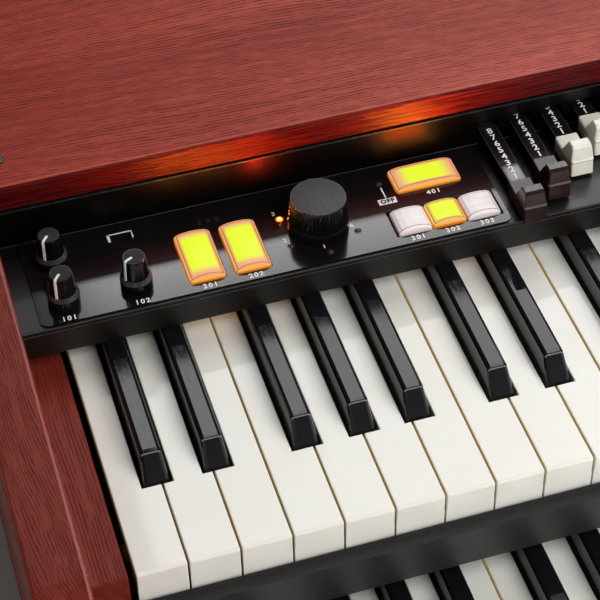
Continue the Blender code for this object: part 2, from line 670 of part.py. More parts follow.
def add_drawbar(bm, place, stem_bottom):
    """Add a cap with a finger notch and a raised, sloping front block; return its flat stem, to be joined."""
    rear = cap_rear(place["pulled"])
    cap = bmesh.new()
    rings = []
    for sign in (-1, 1):
        ring = []
        for forward, height in CAP_PROFILE:
            width = CAP_TOP_WIDTH if height > CAP_SHOULDER else CAP_WIDTH
            ring.append(on_panel(place["x"] + sign * width / 2, rear - forward, height))
        rings.append(ring)
    ends = add_layers(cap, rings)
    rim = [edge for edge in cap.edges if any(set(edge.verts) <= set(end) for end in ends)
           and max(vert.co.z for vert in edge.verts) > UPPER.z + CAP_BOTTOM + CAP_EDGE]
    round_edges(cap, rim, CAP_EDGE, 1)
    merge(bm, cap)
    stem = bmesh.new()
    overlap = 2 * MM
    edge = 0.5 * MM
    half = STEM_WIDTH / 2
    section = ((-half, stem_bottom), (half, stem_bottom), (half, STEM_TOP - edge), (half - edge, STEM_TOP),
               (edge - half, STEM_TOP), (-half, STEM_TOP - edge))
    ends = (rear - overlap, rear + STEM_LENGTH)
    add_layers(stem, [[on_panel(place["x"] + x, y, z) for x, z in section] for y in ends])
    return stem


def drawbar_finish(colour):
    shades = {"brown": (0.045, 0.018, 0.014), "white": (0.78, 0.74, 0.62), "black": (0.012, 0.012, 0.013)}
    return material(f"drawbar_{colour}", shades[colour], 0.3)


def build_drawbars():
    for place in drawbar_places():
        if place["set"] != "upper":
            continue
        bm = bmesh.new()
        stem = add_drawbar(bm, place, STEM_BOTTOM)
        origin = on_panel(place["x"], cap_rear(place["pulled"]), STEM_TOP)
        finish = drawbar_finish(UPPER_COLOURS[place["number"]])
        bar = add_object(f"upper_drawbar_{place['number'] + 1}", bm, finish, origin)
        combine(bar, stem, "UNION")


def add_button(bm, place, size, bottom):
    """A cap whose top arches across its width and rounds off at its front and rear ends."""
    middle = UPPER.x + place[0]
    half = size[0] / 2
    surface = UPPER.z + PANEL_Z
    front = UPPER.y + place[1] - size[1] / 2
    rear = UPPER.y + place[1] + size[1] / 2
    stations = [(front + away, inset, drop) for away, inset, drop in BUTTON_ENDS]
    stations += [(rear - away, inset, drop) for away, inset, drop in reversed(BUTTON_ENDS)]
    loops = []
    for y, inset, drop in stations:
        scale = (half - inset) / half
        arch = [(half - away, height) for away, height in BUTTON_ARCH]
        points = [(-half, bottom - surface)] + [(-x, z - drop) for x, z in arch] + [(0, BUTTON_RISE - drop)]
        points += [(x, z - drop) for x, z in reversed(arch)] + [(half, bottom - surface)]
        loops.append([(middle + x * scale, y, surface + z) for x, z in points])
    add_layers(bm, loops)


def button_list():
    """Name, middle, size and finish of every left-hand button."""
    lit = material("lit_button", (1.0, 0.62, 0.05), 0.15)
    clear = material("frosted_button", (0.85, 0.78, 0.76), 0.15)
    return (("vibrato_upper_button", VIBRATO_BUTTONS[0], TALL_BUTTON, lit),
            ("vibrato_lower_button", VIBRATO_BUTTONS[1], TALL_BUTTON, lit),
            ("rotary_speed_button", ROTARY_BUTTON, WIDE_BUTTON, lit),
            ("preset_a_button", PRESET_BUTTONS[0], SQUARE_BUTTON, clear),
            ("preset_b_button", PRESET_BUTTONS[1], SQUARE_BUTTON, lit),
            ("manual_button", PRESET_BUTTONS[2], SQUARE_BUTTON, clear))


def build_buttons():
    for name, place, size, finish in button_list():
        bm = bmesh.new()
        add_button(bm, place, size, UPPER.z + DECK_BOTTOM - BUTTON_DEPTH)
        smooth(add_object(name, bm, finish, on_panel(*place)))


def build_knobs():
    """Three small knobs with a flange, and the large ribbed vibrato knob, each with its spindle."""
    base = UPPER.z + PANEL_Z + GAP
    foot = base - SPINDLE_LENGTH
    small = ((SPINDLE_RADIUS, foot, False), (SPINDLE_RADIUS, base, False), (KNOB_FLANGE_RADIUS, base, False),
             (KNOB_FLANGE_RADIUS, base + 4.6 * MM, False), (KNOB_FLANGE_RADIUS - 0.5 * MM, base + 5.3 * MM, False),
             (KNOB_RADIUS + 0.7 * MM, base + 6.1 * MM, False), (KNOB_RADIUS + 0.6 * MM, base + 6.5 * MM, True),
             (KNOB_RADIUS + 0.1 * MM, base + KNOB_HEIGHT - 1.0 * MM, True),
             (KNOB_RADIUS - 0.5 * MM, base + KNOB_HEIGHT - GAP, False))
    for name, place in (("volume_knob", VOLUME_KNOB), ("drive_knob", DRIVE_KNOB), ("reverb_knob", REVERB_KNOB)):
        centre = on_panel(*place)
        bm = bmesh.new()
        add_turned(bm, small, centre, 24, 0.07)
        smooth(add_object(name, bm, black_plastic(), centre), math.radians(30))
    large = ((SPINDLE_RADIUS, foot, False), (SPINDLE_RADIUS, base, False),
             (VIBRATO_SKIRT_RADIUS - 0.6 * MM, base, False),
             (VIBRATO_SKIRT_RADIUS, base + 0.8 * MM, False), (VIBRATO_SKIRT_RADIUS, base + 4.4 * MM, False),
             (VIBRATO_SKIRT_RADIUS - 0.5 * MM, base + 4.9 * MM, True),
             (VIBRATO_RADIUS + 0.2 * MM, base + VIBRATO_HEIGHT - 1.3 * MM, True),
             (VIBRATO_RADIUS - 0.5 * MM, base + VIBRATO_HEIGHT - GAP, False))
    centre = on_panel(*VIBRATO_KNOB)
    bm = bmesh.new()
    add_turned(bm, large, centre, 96, 0.035)
    smooth(add_object("vibrato_knob", bm, black_plastic(), centre), math.radians(30))


def add_button_hole(bm, place, size, low, high):
    """A closed solid a little larger than a button, to cut its opening with."""
    room = BUTTON_CLEARANCE
    outline = rounded_outline(UPPER.x + place[0] - size[0] / 2 - room, UPPER.y + place[1] - size[1] / 2 - room,
                              UPPER.x + place[0] + size[0] / 2 + room, UPPER.y + place[1] + size[1] / 2 + room,
                              HOLE_CORNER)
    add_layers(bm, [[(x, y, z) for x, y in outline] for z in (low, high)])


def add_bay(bm, bay, low, high):
    """A cutter for the opening that a row of square buttons shares."""
    left, front, right, rear = bay
    add_box(bm, (UPPER.x + left, UPPER.y + front, low), (UPPER.x + right, UPPER.y + rear, high))


def add_left_openings(bm, low, high, spindle_room):
    """Cutters for the left-hand buttons, the preset bay and the knob spindles."""
    for place, size in ((VIBRATO_BUTTONS[0], TALL_BUTTON), (VIBRATO_BUTTONS[1], TALL_BUTTON),
                        (ROTARY_BUTTON, WIDE_BUTTON)):
        add_button_hole(bm, place, size, low, high)
    add_bay(bm, PRESET_BAY, low, high)
    for place in (VOLUME_KNOB, DRIVE_KNOB, REVERB_KNOB, VIBRATO_KNOB):
        centre = on_panel(*place)
        add_rod(bm, (centre.x, centre.y, low), (centre.x, centre.y, high), SPINDLE_RADIUS + spindle_room)


def lamp_places():
    """The six lamps round the vibrato knob and the one beside the rotary button."""
    places = []
    for step in range(VIBRATO_POSITIONS):
        angle = math.radians(30) + math.tau * step / VIBRATO_POSITIONS
        places.append((VIBRATO_KNOB[0] + LAMP_RING_RADIUS * math.cos(angle),
                       VIBRATO_KNOB[1] + LAMP_RING_RADIUS * math.sin(angle)))
    return places + [ROTARY_LAMP]


def build_overlays():
    """Thin glossy plates on the deck, left and right of the drawbars."""
    low = UPPER.z + PANEL_Z - OVERLAY_THICKNESS
    high = UPPER.z + PANEL_Z
    below = low - 1 * MM
    above = high + 1 * MM
    finish = material("overlay_gloss", (0.01, 0.01, 0.012), 0.12)
    spans = {"left_control_overlay": (OVERLAY_LEFT, OVERLAY_RIGHT),
             "right_control_overlay": (KEYBOARD_WIDTH - OVERLAY_RIGHT, KEYBOARD_WIDTH - OVERLAY_LEFT)}
    overlays = {}
    for name, (left, right) in spans.items():
        bm = bmesh.new()
        outline = rounded_outline(UPPER.x + left, UPPER.y + OVERLAY_FRONT, UPPER.x + right,
                                  UPPER.y + OVERLAY_REAR, OVERLAY_CORNER)
        add_layers(bm, [[(x, y, z) for x, y in outline] for z in (low, high)])
        overlays[name] = add_object(name, bm, finish)
    bm = bmesh.new()
    add_left_openings(bm, below, above, 0.4 * MM)
    for x, y in lamp_places():
        centre = on_panel(x, y)
        add_rod(bm, (centre.x, centre.y, below), (centre.x, centre.y, above), LAMP_RADIUS)
    combine(overlays["left_control_overlay"], bm, "DIFFERENCE")
    bm = bmesh.new()
    for place in RIGHT_TALL_BUTTONS:
        add_button_hole(bm, place, TALL_BUTTON, below, above)
    add_bay(bm, RIGHT_BAY, below, above)
    combine(overlays["right_control_overlay"], bm, "DIFFERENCE")


def build_control_panel():
    """Deck, riser and lip of one sheet, the drawbar shelf, and the controls of the treble half."""
    bm = bmesh.new()
    width = INNER_HALF_WIDTH - GAP
    add_side_profile(bm, panel_profile(), -width, width)
    panel = add_object("control_panel", bm, black_metal())
    bm = bmesh.new()
    shelf_side = SLOT_WIDTH
    add_box(bm, on_panel(UPPER_DRAWBAR_X - shelf_side, RISER_Y + 1 * MM, SHELF_TOP - SHELF_THICKNESS),
            on_panel(KEYBOARD_WIDTH - UPPER_DRAWBAR_X + shelf_side, SHELF_REAR, SHELF_TOP))
    combine(panel, bm, "UNION")
    bm = bmesh.new()
    for place in drawbar_places():
        add_box(bm, on_panel(place["x"] - SLOT_WIDTH / 2, RISER_Y - 2 * MM, SLOT_BOTTOM),
                on_panel(place["x"] + SLOT_WIDTH / 2, RISER_Y + RISER_THICKNESS + 2 * MM, SLOT_TOP))
    add_left_openings(bm, UPPER.z + DECK_BOTTOM - 1 * MM, UPPER.z + DECK_TOP + 1 * MM, 0.8 * MM)
    combine(panel, bm, "DIFFERENCE")
    bm = bmesh.new()
    stems = bmesh.new()
    for place in drawbar_places():
        if place["set"] != "upper":
            merge(stems, add_drawbar(bm, place, FUSED_STEM_BOTTOM))
    inside_deck = UPPER.z + DECK_BOTTOM + 0.8 * MM
    for place in RIGHT_TALL_BUTTONS:
        add_button(bm, place, TALL_BUTTON, inside_deck)
    for place in RIGHT_SQUARE_BUTTONS:
        add_button(bm, place, SQUARE_BUTTON, inside_deck)
    combine(panel, stems, "UNION")
    combine(panel, bm, "UNION")


# Rear connectors and what is inside


def build_connector_plate():
    """Steel plate in the rear bay: mains inlet with three pins, switch opening and four jack sockets."""
    centre_z = BAY_CENTRE[1]
    rear = PLATE_REAR_Y
    front = rear - PLATE_THICKNESS
    half_x = BAY_SIZE[0] / 2 + PLATE_MARGIN
    half_z = BAY_SIZE[1] / 2 + PLATE_MARGIN
    bm = bmesh.new()
    add_box(bm, (BAY_CENTRE[0] - half_x, front, centre_z - half_z), (BAY_CENTRE[0] + half_x, rear, centre_z + half_z))
    plate = add_object("connector_plate", bm, material("connector_steel", (0.03, 0.03, 0.03), 0.4, 0.5))
    bm = bmesh.new()
    wall_x = INLET_SIZE[0] / 2 + INLET_WALL
    wall_z = INLET_SIZE[1] / 2 + INLET_WALL
    add_box(bm, (INLET_X - wall_x, rear - INLET_DEPTH - INLET_WALL, centre_z - wall_z),
            (INLET_X + wall_x, rear + 1.5 * MM, centre_z + wall_z))
    for x in JACK_XS:
        add_rod(bm, (x, rear - JACK_DEPTH - 2 * MM, centre_z), (x, rear - 1 * MM, centre_z), JACK_BARREL)
    combine(plate, bm, "UNION")
    bm = bmesh.new()
    for x in JACK_XS:
        add_rod(bm, (x, rear - 0.5 * MM, centre_z), (x, rear + 2.5 * MM, centre_z), JACK_NUT, 6)
    combine(plate, bm, "UNION")
    bm = bmesh.new()
    add_box(bm, (INLET_X - INLET_SIZE[0] / 2, rear - INLET_DEPTH, centre_z - INLET_SIZE[1] / 2),
            (INLET_X + INLET_SIZE[0] / 2, rear + 5 * MM, centre_z + INLET_SIZE[1] / 2))
    add_box(bm, (SWITCH_X - SWITCH_HOLE[0] / 2, front - 5 * MM, centre_z - SWITCH_HOLE[1] / 2),
            (SWITCH_X + SWITCH_HOLE[0] / 2, rear + 5 * MM, centre_z + SWITCH_HOLE[1] / 2))
    for x in JACK_XS:
        add_rod(bm, (x, rear - JACK_DEPTH, centre_z), (x, rear + 5 * MM, centre_z), JACK_BORE)
    combine(plate, bm, "DIFFERENCE")
    bm = bmesh.new()
    for x, z in INLET_PINS:
        add_box(bm, (INLET_X + x - 1 * MM, rear - INLET_DEPTH - 1 * MM, centre_z + z - 2 * MM),
                (INLET_X + x + 1 * MM, rear - 3 * MM, centre_z + z + 2 * MM))
    combine(plate, bm, "UNION")


def build_power_switch():
    """Rocker with two flats that meet in a shallow valley, resting tilted to one side."""
    outline = ((4.6, 8.4), (2.6, 0), (4.6, -8.4), (-2.0, -8.8), (-6.0, -4.5), (-6.0, 4.5), (-2.0, 8.8))
    pivot = Vector((SWITCH_X, PLATE_REAR_Y, BAY_CENTRE[1]))
    profile = []
    for y, z in outline:
        turned_y = y * math.cos(ROCKER_TILT) - z * math.sin(ROCKER_TILT)
        turned_z = y * math.sin(ROCKER_TILT) + z * math.cos(ROCKER_TILT)
        profile.append((pivot.y + turned_y * MM, pivot.z + turned_z * MM))
    bm = bmesh.new()
    add_side_profile(bm, profile, pivot.x - ROCKER_WIDTH / 2, pivot.x + ROCKER_WIDTH / 2)
    add_object("power_switch", bm, black_plastic(), pivot)


def build_electronics():
    """Main circuit board on its standoffs and the power supply, both on the base board."""
    floor = BASE_TOP_Z + GAP
    board_bottom = floor + 7 * MM
    board_top = board_bottom + 1.6 * MM
    bm = bmesh.new()
    add_box(bm, (60 * MM, 70 * MM, board_bottom), (300 * MM, 190 * MM, board_top))
    board = add_object("main_board", bm, material("circuit_board", (0.02, 0.16, 0.07), 0.45))
    bm = bmesh.new()
    for x in (66 * MM, 294 * MM):
        for y in (76 * MM, 184 * MM):
            add_rod(bm, (x, y, floor), (x, y, board_bottom + 0.8 * MM), 3 * MM, 8)
    for x, y, width, depth, height in ((100, 100, 30, 30, 3), (160, 110, 22, 22, 3), (215, 150, 40, 14, 9),
                                       (110, 160, 50, 10, 12), (265, 95, 16, 30, 10)):
        add_box(bm, (x * MM, y * MM, board_top - 0.8 * MM), ((x + width) * MM, (y + depth) * MM,
                                                              board_top + height * MM))
    combine(board, bm, "UNION")
    bm = bmesh.new()
    add_box(bm, (-395 * MM, 110 * MM, floor), (-255 * MM, 195 * MM, floor + 24 * MM))
    bmesh.ops.bevel(bm, geom=bm.edges[:], offset=1.5 * MM, segments=1, affect="EDGES")
    add_object("power_supply", bm, material("supply_case", (0.55, 0.56, 0.57), 0.35, 0.9))


def build_organ():
    clear_scene()
    build_side_panel("left_side_panel", -1)
    build_side_panel("right_side_panel", 1)
    build_base()
    build_lid()
    build_front_rail()
    build_rear_panel()
    build_key_slip()
    build_cheeks()
    keys = key_list()
    build_keyboard("upper_keyboard", UPPER, UPPER_BED_TOP, keys[JOINTED_KEYS:], 0.5 * MM)
    build_keyboard("lower_keyboard", LOWER, LOWER_BED_TOP, keys, 0.5 * MM)
    build_jointed_keys()
    build_control_panel()
    build_overlays()
    build_knobs()
    build_buttons()
    build_drawbars()
    build_connector_plate()
    build_power_switch()
    build_electronics()


build_organ()
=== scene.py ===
"""Looks of a dual-manual drawbar organ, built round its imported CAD.

Finishes, lettering, indicator lamps, trim, lights and camera. Metres, +Z up, the player sits at -Y, as in
the CAD.
"""
import math

import bmesh
import bpy
from mathutils import Matrix, Vector


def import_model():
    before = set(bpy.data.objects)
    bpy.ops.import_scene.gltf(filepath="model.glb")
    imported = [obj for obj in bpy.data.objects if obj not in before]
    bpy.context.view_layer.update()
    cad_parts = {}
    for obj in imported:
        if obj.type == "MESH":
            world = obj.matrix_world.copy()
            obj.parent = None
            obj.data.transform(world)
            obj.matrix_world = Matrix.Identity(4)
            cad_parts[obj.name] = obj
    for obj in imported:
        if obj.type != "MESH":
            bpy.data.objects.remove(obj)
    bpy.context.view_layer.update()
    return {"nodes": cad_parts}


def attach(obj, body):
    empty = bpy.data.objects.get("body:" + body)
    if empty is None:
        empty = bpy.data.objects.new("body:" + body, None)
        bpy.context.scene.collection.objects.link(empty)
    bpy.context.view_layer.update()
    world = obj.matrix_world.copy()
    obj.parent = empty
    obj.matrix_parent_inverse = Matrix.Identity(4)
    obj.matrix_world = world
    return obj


MM = 0.001

# Keyboards. The corner is the upper one's: low C's left edge, the white fronts and the white tops
CORNER = Vector((-0.423, -0.108, 0.146))
MANUAL_SETBACK = 108 * MM
MANUAL_RISE = 66 * MM
KEY_PITCH = 23.5 * MM
NATURALS = 36
KEYBOARD_WIDTH = NATURALS * KEY_PITCH
OCTAVE = 7 * KEY_PITCH
NATURAL_THICKNESS = 11.5 * MM
NATURAL_FRONT_HEIGHT = 21.6 * MM
KEYBED_Y = 40 * MM
# Middles of the sharps from their C's left edge, and where their notches and their tops begin
SHARP_MIDDLES = (21.35 * MM, 49.3 * MM, 91 * MM, 118.1 * MM, 144.8 * MM)
SHARP_HALF_WIDTH = 6.9 * MM
SHARP_NOTCH_Y = 46.3 * MM
SHARP_TOP_Y = 55.5 * MM
SHARP_TOP_Z = 10 * MM

# Case and control panel, measured from the corner
LIP_Y = 127.3 * MM
RISER_Y = 187.6 * MM
RISER_EDGE_Z = 49 * MM
DECK_Z = 27.3 * MM
PANEL_Z = 28.2 * MM
OVERLAY_REAR = 186.1 * MM
LID_FRONT = 187.2 * MM
LID_Z = 64.6 * MM
LID_SCREW = (-11.9 * MM, 207.6 * MM)
CHEEK_ROOM = 21 * MM
RIGHT_BUTTONS = 624 * MM
# Height of the main board's face above the floor
BOARD_Z = 32 * MM

# Camera, found from the photographed keys
CAMERA_PLACE = Vector((-0.48779, -0.59098, 0.80595))
CAMERA_FORWARD = Vector((0.19523, 0.67042, -0.71584))
CAMERA_RIGHT = Vector((0.95521, -0.29549, -0.01623))
CAMERA_LENS = 114.05

# Controls, as X and Y from the corner
VOLUME_KNOB = (3.1 * MM, 169 * MM)
DRIVE_KNOB = (3.1 * MM, 142.4 * MM)
REVERB_KNOB = (37.8 * MM, 142.4 * MM)
# Middle of each small knob and the way its pointer faces
SMALL_KNOBS = {"volume_knob": (VOLUME_KNOB, math.radians(-128)),
               "drive_knob": (DRIVE_KNOB, math.radians(-128)),
               "reverb_knob": (REVERB_KNOB, math.radians(-152))}
SMALL_KNOB_TOP = 18.2 * MM
# Radius and height in mm of the ring round a small knob's foot
SHOULDER_SECTION = ((6.2, 5.9), (7.25, 5.4), (7.5, 5.05), (7.65, 5.3),
                    (7.25, 5.95), (6.8, 6.35), (6.4, 7.1), (6.2, 7.2))
VIBRATO_KNOB = (130.9 * MM, 154.2 * MM)
VIBRATO_KNOB_TOP = 18.4 * MM
LAMP_COUNT = 6
LAMP_RING_RADIUS = 19.4 * MM
LAMP_RADIUS = 1.8 * MM
LIT_LAMP = 2
ROTARY_LAMP = (167.9 * MM, 172.7 * MM)
# Middle and size of each button
BUTTONS = {"vibrato_upper_button": ((70.6 * MM, 150.6 * MM), (17.7 * MM, 33 * MM)),
           "vibrato_lower_button": ((92.9 * MM, 150.6 * MM), (17.7 * MM, 33 * MM)),
           "rotary_speed_button": ((191.1 * MM, 171.3 * MM), (33.4 * MM, 16.3 * MM)),
           "preset_a_button": ((174 * MM, 142.8 * MM), (17.2 * MM, 16.1 * MM)),
           "preset_b_button": ((191.6 * MM, 142.8 * MM), (17.2 * MM, 16.1 * MM)),
           "manual_button": ((209.2 * MM, 142.8 * MM), (17.2 * MM, 16.1 * MM))}
# Words of each printed number, and its middle in mm
PANEL_NUMBERS = {"drive_number": ("101", 3.0, 130.5),
                 "reverb_number": ("102", 37.8, 130.5),
                 "upper_number": ("201", 70.6, 130.9),
                 "lower_number": ("202", 92.9, 130.9),
                 "preset_a_number": ("301", 174, 131.2),
                 "preset_b_number": ("302", 191.6, 131.2),
                 "manual_number": ("303", 209.2, 131.2),
                 "rotary_number": ("401", 191.9, 159.5)}
# Ends and width of each printed line, in mm
PANEL_STROKES = (((32.2, 173.9), (32.2, 178.9), 1.3),
                 ((31.6, 178.7), (44, 178.7), 0.7),
                 ((43.7, 178.7), (43.7, 173.9), 0.6),
                 ((168, 169.9), (168.1, 162.5), 0.7))
# A button longer than this fades to its rim over a longer way
SHORT_BUTTON = 18 * MM
OFF_FIELD = ((163.5 * MM, 157.8 * MM), (172.7 * MM, 161.8 * MM))
# Height of a capital as a share of the type size
CAPITAL_HEIGHT = 0.7
LIT_BUTTONS = ("vibrato_upper_button", "vibrato_lower_button", "rotary_speed_button", "preset_b_button")
# Watts of each lamp's glow on wood and of its mirror image in gloss
BUTTON_GLOW = (0.105, 0.009)
LAMP_GLOW = (0.030, 0.015)
GLOW_ON_WOOD = (1.0, 0.62, 0.035)
GLOW_IN_GLOSS = (1.0, 0.030, 0.004)
GLOW_SPREAD = math.radians(155)

# Drawbars, measured from the corner; a registration goes from 0 for pushed in to 8
DRAWBAR_PITCH = 17.2 * MM
DRAWBAR_STEP = 5 * MM
UPPER_DRAWBAR_X = 231 * MM
PULLED_CAP_REAR = 145.7 * MM
CAP_STEP = 36.9 * MM
CAP_DEPTH = 18 * MM
CAP_HALF_WIDTH = 8.4 * MM
STEM_TOP = 35.1 * MM
STEM_EDGE = 4.45 * MM
STRIP_HALF_WIDTH = 3.45 * MM
STRIP_REACH = 58 * MM
FIRST_DIGIT_SETBACK = 4.8 * MM
UPPER_REGISTRATION = (8, 5.7, 3.25, 1.05, 0, 0, 0, 0, 0)
PEDAL_REGISTRATION = (5, 2)
LOWER_REGISTRATION = (8, 6, 3, 1, 0, 0, 0, 0, 0)
DRAWBAR_COLOURS = ("brown", "brown", "white", "white", "black", "white", "black", "black", "white")
CAP_SHADES = {"brown": (0.020, 0.008, 0.0065),
              "black": (0.007, 0.007, 0.008),
              "white": (0.72, 0.695, 0.60)}

# Colours that several finishes share
IVORY = (0.86, 0.845, 0.785)
EBONY = (0.006, 0.006, 0.008)
# Painted glint on the sharps' front arris
EBONY_GLINT = (0.34, 0.34, 0.38)
STEM_BLACK = (0.006, 0.006, 0.007)
# Stain of the wood, from its dark to its pale grain
STAIN = ((0.30, (0.190, 0.013, 0.007)),
         (0.43, (0.310, 0.032, 0.017)),
         (0.57, (0.430, 0.062, 0.038)),
         (0.72, (0.530, 0.105, 0.076)))
RING_SPACING = 8.5 * MM
# X between which painted shade deepens the lid to the bass end, and between which painted sheen pales it
LID_PAINTED_SHADE = (-0.18, -0.42)
LID_PAINTED_SHEEN = (-0.34, -0.05)


class Value:
    """A number that varies over a surface. Arithmetic on it adds Math nodes to its material."""

    def __init__(self, finish, socket):
        self.finish = finish
        self.socket = socket

    def math(self, operation, *operands):
        return self.finish.node("ShaderNodeMath", {"operation": operation}, dict(enumerate(operands)))

    def __add__(self, other):
        return self.math("ADD", self, other)

    __radd__ = __add__

    def __sub__(self, other):
        return self.math("SUBTRACT", self, other)

    def __rsub__(self, other):
        return self.math("SUBTRACT", other, self)

    def __mul__(self, other):
        return self.math("MULTIPLY", self, other)

    __rmul__ = __mul__

    def __abs__(self):
        return self.math("ABSOLUTE", self)

    def sine(self):
        return self.math("SINE", self)

    def root(self):
        return self.math("SQRT", self)

    def wrapped(self, length):
        """What is left over after whole lengths."""
        return self.math("FLOORED_MODULO", self, length)

    def least(self, other):
        return self.math("MINIMUM", self, other)

    def most(self, other):
        return self.math("MAXIMUM", self, other)

    def rise(self, low, high):
        """0 below low, 1 above high and a smooth step between; high below low makes it fall."""
        settings = {"interpolation_type": "SMOOTHSTEP"}
        values = {"Value": self, "From Min": low, "From Max": high, "To Min": 0.0, "To Max": 1.0}
        return self.finish.node("ShaderNodeMapRange", settings, values)

    def band(self, outer_low, inner_low, inner_high, outer_high):
        """1 between the inner limits, falling to 0 at the outer ones."""
        return self.rise(outer_low, inner_low) * self.rise(outer_high, inner_high)


class Finish:
    """One material: its Principled shader and the nodes that drive it."""

    def __init__(self, name, **constants):
        self.material = bpy.data.materials.new(name)
        self.material.use_nodes = True
        self.tree = self.material.node_tree
        self.shader = self.tree.nodes["Principled BSDF"]
        for socket, number in constants.items():
            self.shader.inputs[socket.replace("_", " ")].default_value = number
        self.place = self.node("ShaderNodeTexCoord", {}, {}, "Object")

    def node(self, kind, settings, values, output=0):
        """Add a node with its settings and with numbers or other nodes' results at its inputs."""
        node = self.tree.nodes.new(kind)
        for key, setting in settings.items():
            if key == "stops":
                self.fill_ramp(node.color_ramp, setting)
            else:
                setattr(node, key, setting)
        for key, value in values.items():
            if isinstance(value, Value):
                self.tree.links.new(value.socket, node.inputs[key])
            else:
                node.inputs[key].default_value = value
        return Value(self, node.outputs[output])

    def fill_ramp(self, ramp, stops):
        while len(ramp.elements) < len(stops):
            ramp.elements.new(0.5)
        for element, (position, colour) in zip(ramp.elements, stops):
            element.position = position
            element.color = (*colour, 1)

    def parts(self):
        """X, Y and Z of a place on the surface, in the CAD's own metres."""
        split = self.node("ShaderNodeSeparateXYZ", {}, {0: self.place}).socket.node
        return [Value(self, socket) for socket in split.outputs]

    def noise(self, scale, detail=2.0, roughness=0.5, distortion=0.0, stretch=None):
        """Noise from 0 to 1, which runs long along an axis whose part of the stretch is small."""
        place = self.place
        if stretch:
            place = self.node("ShaderNodeVectorMath", {"operation": "MULTIPLY"}, {0: place, 1: stretch})
        values = {"Vector": place, "Scale": scale, "Detail": detail, "Roughness": roughness,
                  "Distortion": distortion}
        return self.node("ShaderNodeTexNoise", {}, values)

    def blend(self, factor, first, second, how="MIX"):
        """From the first colour for a factor of 0 to the second for 1."""
        values = {0: factor, 6: self.colour(first), 7: self.colour(second)}
        return self.node("ShaderNodeMix", {"data_type": "RGBA", "blend_type": how}, values, 2)

    def darken(self, factor, first, second):
        """The first colour for a factor of 0, and multiplied by the second for 1."""
        return self.blend(factor, first, second, "MULTIPLY")

    def colour(self, given):
        return given if isinstance(given, Value) else (*given, 1)

    def ramp(self, value, stops):
        return self.node("ShaderNodeValToRGB", {"stops": stops}, {0: value})

    def feed(self, socket, value):
        self.tree.links.new(value.socket, self.shader.inputs[socket])

    def bump(self, height, depth, strength=1.0):
        values = {"Height": height, "Distance": depth, "Strength": strength}
        self.feed("Normal", self.node("ShaderNodeBump", {}, values))


# Finishes


def wood_finish(name, grain, depth=1.0, spacing=1.9 * MM, dash=95.0, edge=None, pore=0.95):
    """Red stain on open-pored wood; grain is 0 for X and 1 for Y, and depth below 1 darkens the stain.

    Rows of dark pores lie a spacing apart, 1 / dash is about a pore's length and pore is their strength.
    Edge is a function that paints light and shade onto the stain, mostly towards the edges of a board.
    """
    finish = Finish(name, Specular_IOR_Level=0.22)
    x, y, z = finish.parts()
    across = (y + z * 0.9, x + z * 0.9)[grain]
    bend = grain_noise(finish, grain, 3.2, 9.0, 2.0, 0.5) * (34 * MM)
    ripple = grain_noise(finish, grain, dash * 0.7, 240.0, 2.0, 0.5)
    figure = grain_noise(finish, grain, 2.5, 16.0, 4.0, 0.6)
    fibre = grain_noise(finish, grain, 40.0, 1500.0, 2.0, 0.6)
    dashes = grain_noise(finish, grain, dash, 420.0, 3.0, 0.65)
    rows = ((across + bend + ripple * (1.8 * MM)) * (math.tau / spacing)).sine()
    fine = ((across + bend) * (math.tau / (spacing * 0.47))).sine()
    pores = dashes.rise(0.38, 0.55) * (rows * 0.86 + fine * 0.14).rise(0.10, 0.80)
    rings = ((across + bend * 1.3) * (math.tau / RING_SPACING)).sine()
    stops = [(stop, tuple(channel * depth for channel in colour)) for stop, colour in STAIN]
    stain = finish.ramp(figure * 0.54 + fibre * 0.26 + rings * 0.03 + 0.10, stops)
    stain = finish.darken(pores * pore, stain, (0.24, 0.13, 0.15))
    # Painted light and shade from the edge function go onto the stain
    finish.feed("Base Color", edge(finish, stain, x, y) if edge else stain)
    finish.feed("Roughness", pores * 0.15 + (0.36 + fibre * 0.12))
    finish.bump(pores * -1.0 + fibre * 0.3, 0.14 * MM, 0.7)
    return finish.material


def lid_edge(finish, stain, x, y):
    """The lid's stain, with painted shade to the bass end and a painted pink sheen to the treble.

    Its red front face, darkened by painted shade and lined with grain, lies behind a thin painted
    highlight on the arris.
    """
    # Painted shade deepening the stain towards the bass end, and a painted pink sheen towards the treble
    stain = finish.darken(x.rise(*LID_PAINTED_SHADE), stain, (0.94, 0.78, 0.68))
    stain = finish.blend(x.rise(*LID_PAINTED_SHEEN) * 0.14, stain, (0.66, 0.26, 0.22))
    behind = y - (CORNER.y + LID_FRONT)
    # A painted highlight along the front arris
    arris = behind.band(1.1 * MM, 1.5 * MM, 2.0 * MM, 2.4 * MM)
    stain = finish.blend(arris * 0.4, stain, (0.60, 0.14, 0.09))
    face = behind.rise(1.2 * MM, 0.6 * MM)
    lines = finish.noise(1.0, 2.0, 0.6, stretch=(26.0, 0.0, 1150.0))
    # Painted shade on the front face, then its fine dark grain lines
    stain = finish.darken(face, stain, (0.23, 0.060, 0.10))
    return finish.darken(face * lines.rise(0.46, 0.62), stain, (0.36, 0.25, 0.25))


def arm_edge(finish, stain, x, y):
    """The inner edge of both side panels: a pale painted highlight on the arris, above a face painted
    in saturated red light.
    """
    inward = abs(x) - (CHEEK_ROOM - CORNER.x)
    # Painted pale highlight along the arris
    arris = inward.band(0.4 * MM, 0.8 * MM, 1.5 * MM, 2.0 * MM)
    stain = finish.blend(arris * 0.5, stain, (0.46, 0.17, 0.16))
    # Painted saturated red light on the inner face
    return finish.blend(inward.rise(0.4 * MM, 0.15 * MM) * 0.7, stain, (0.30, 0.016, 0.006))


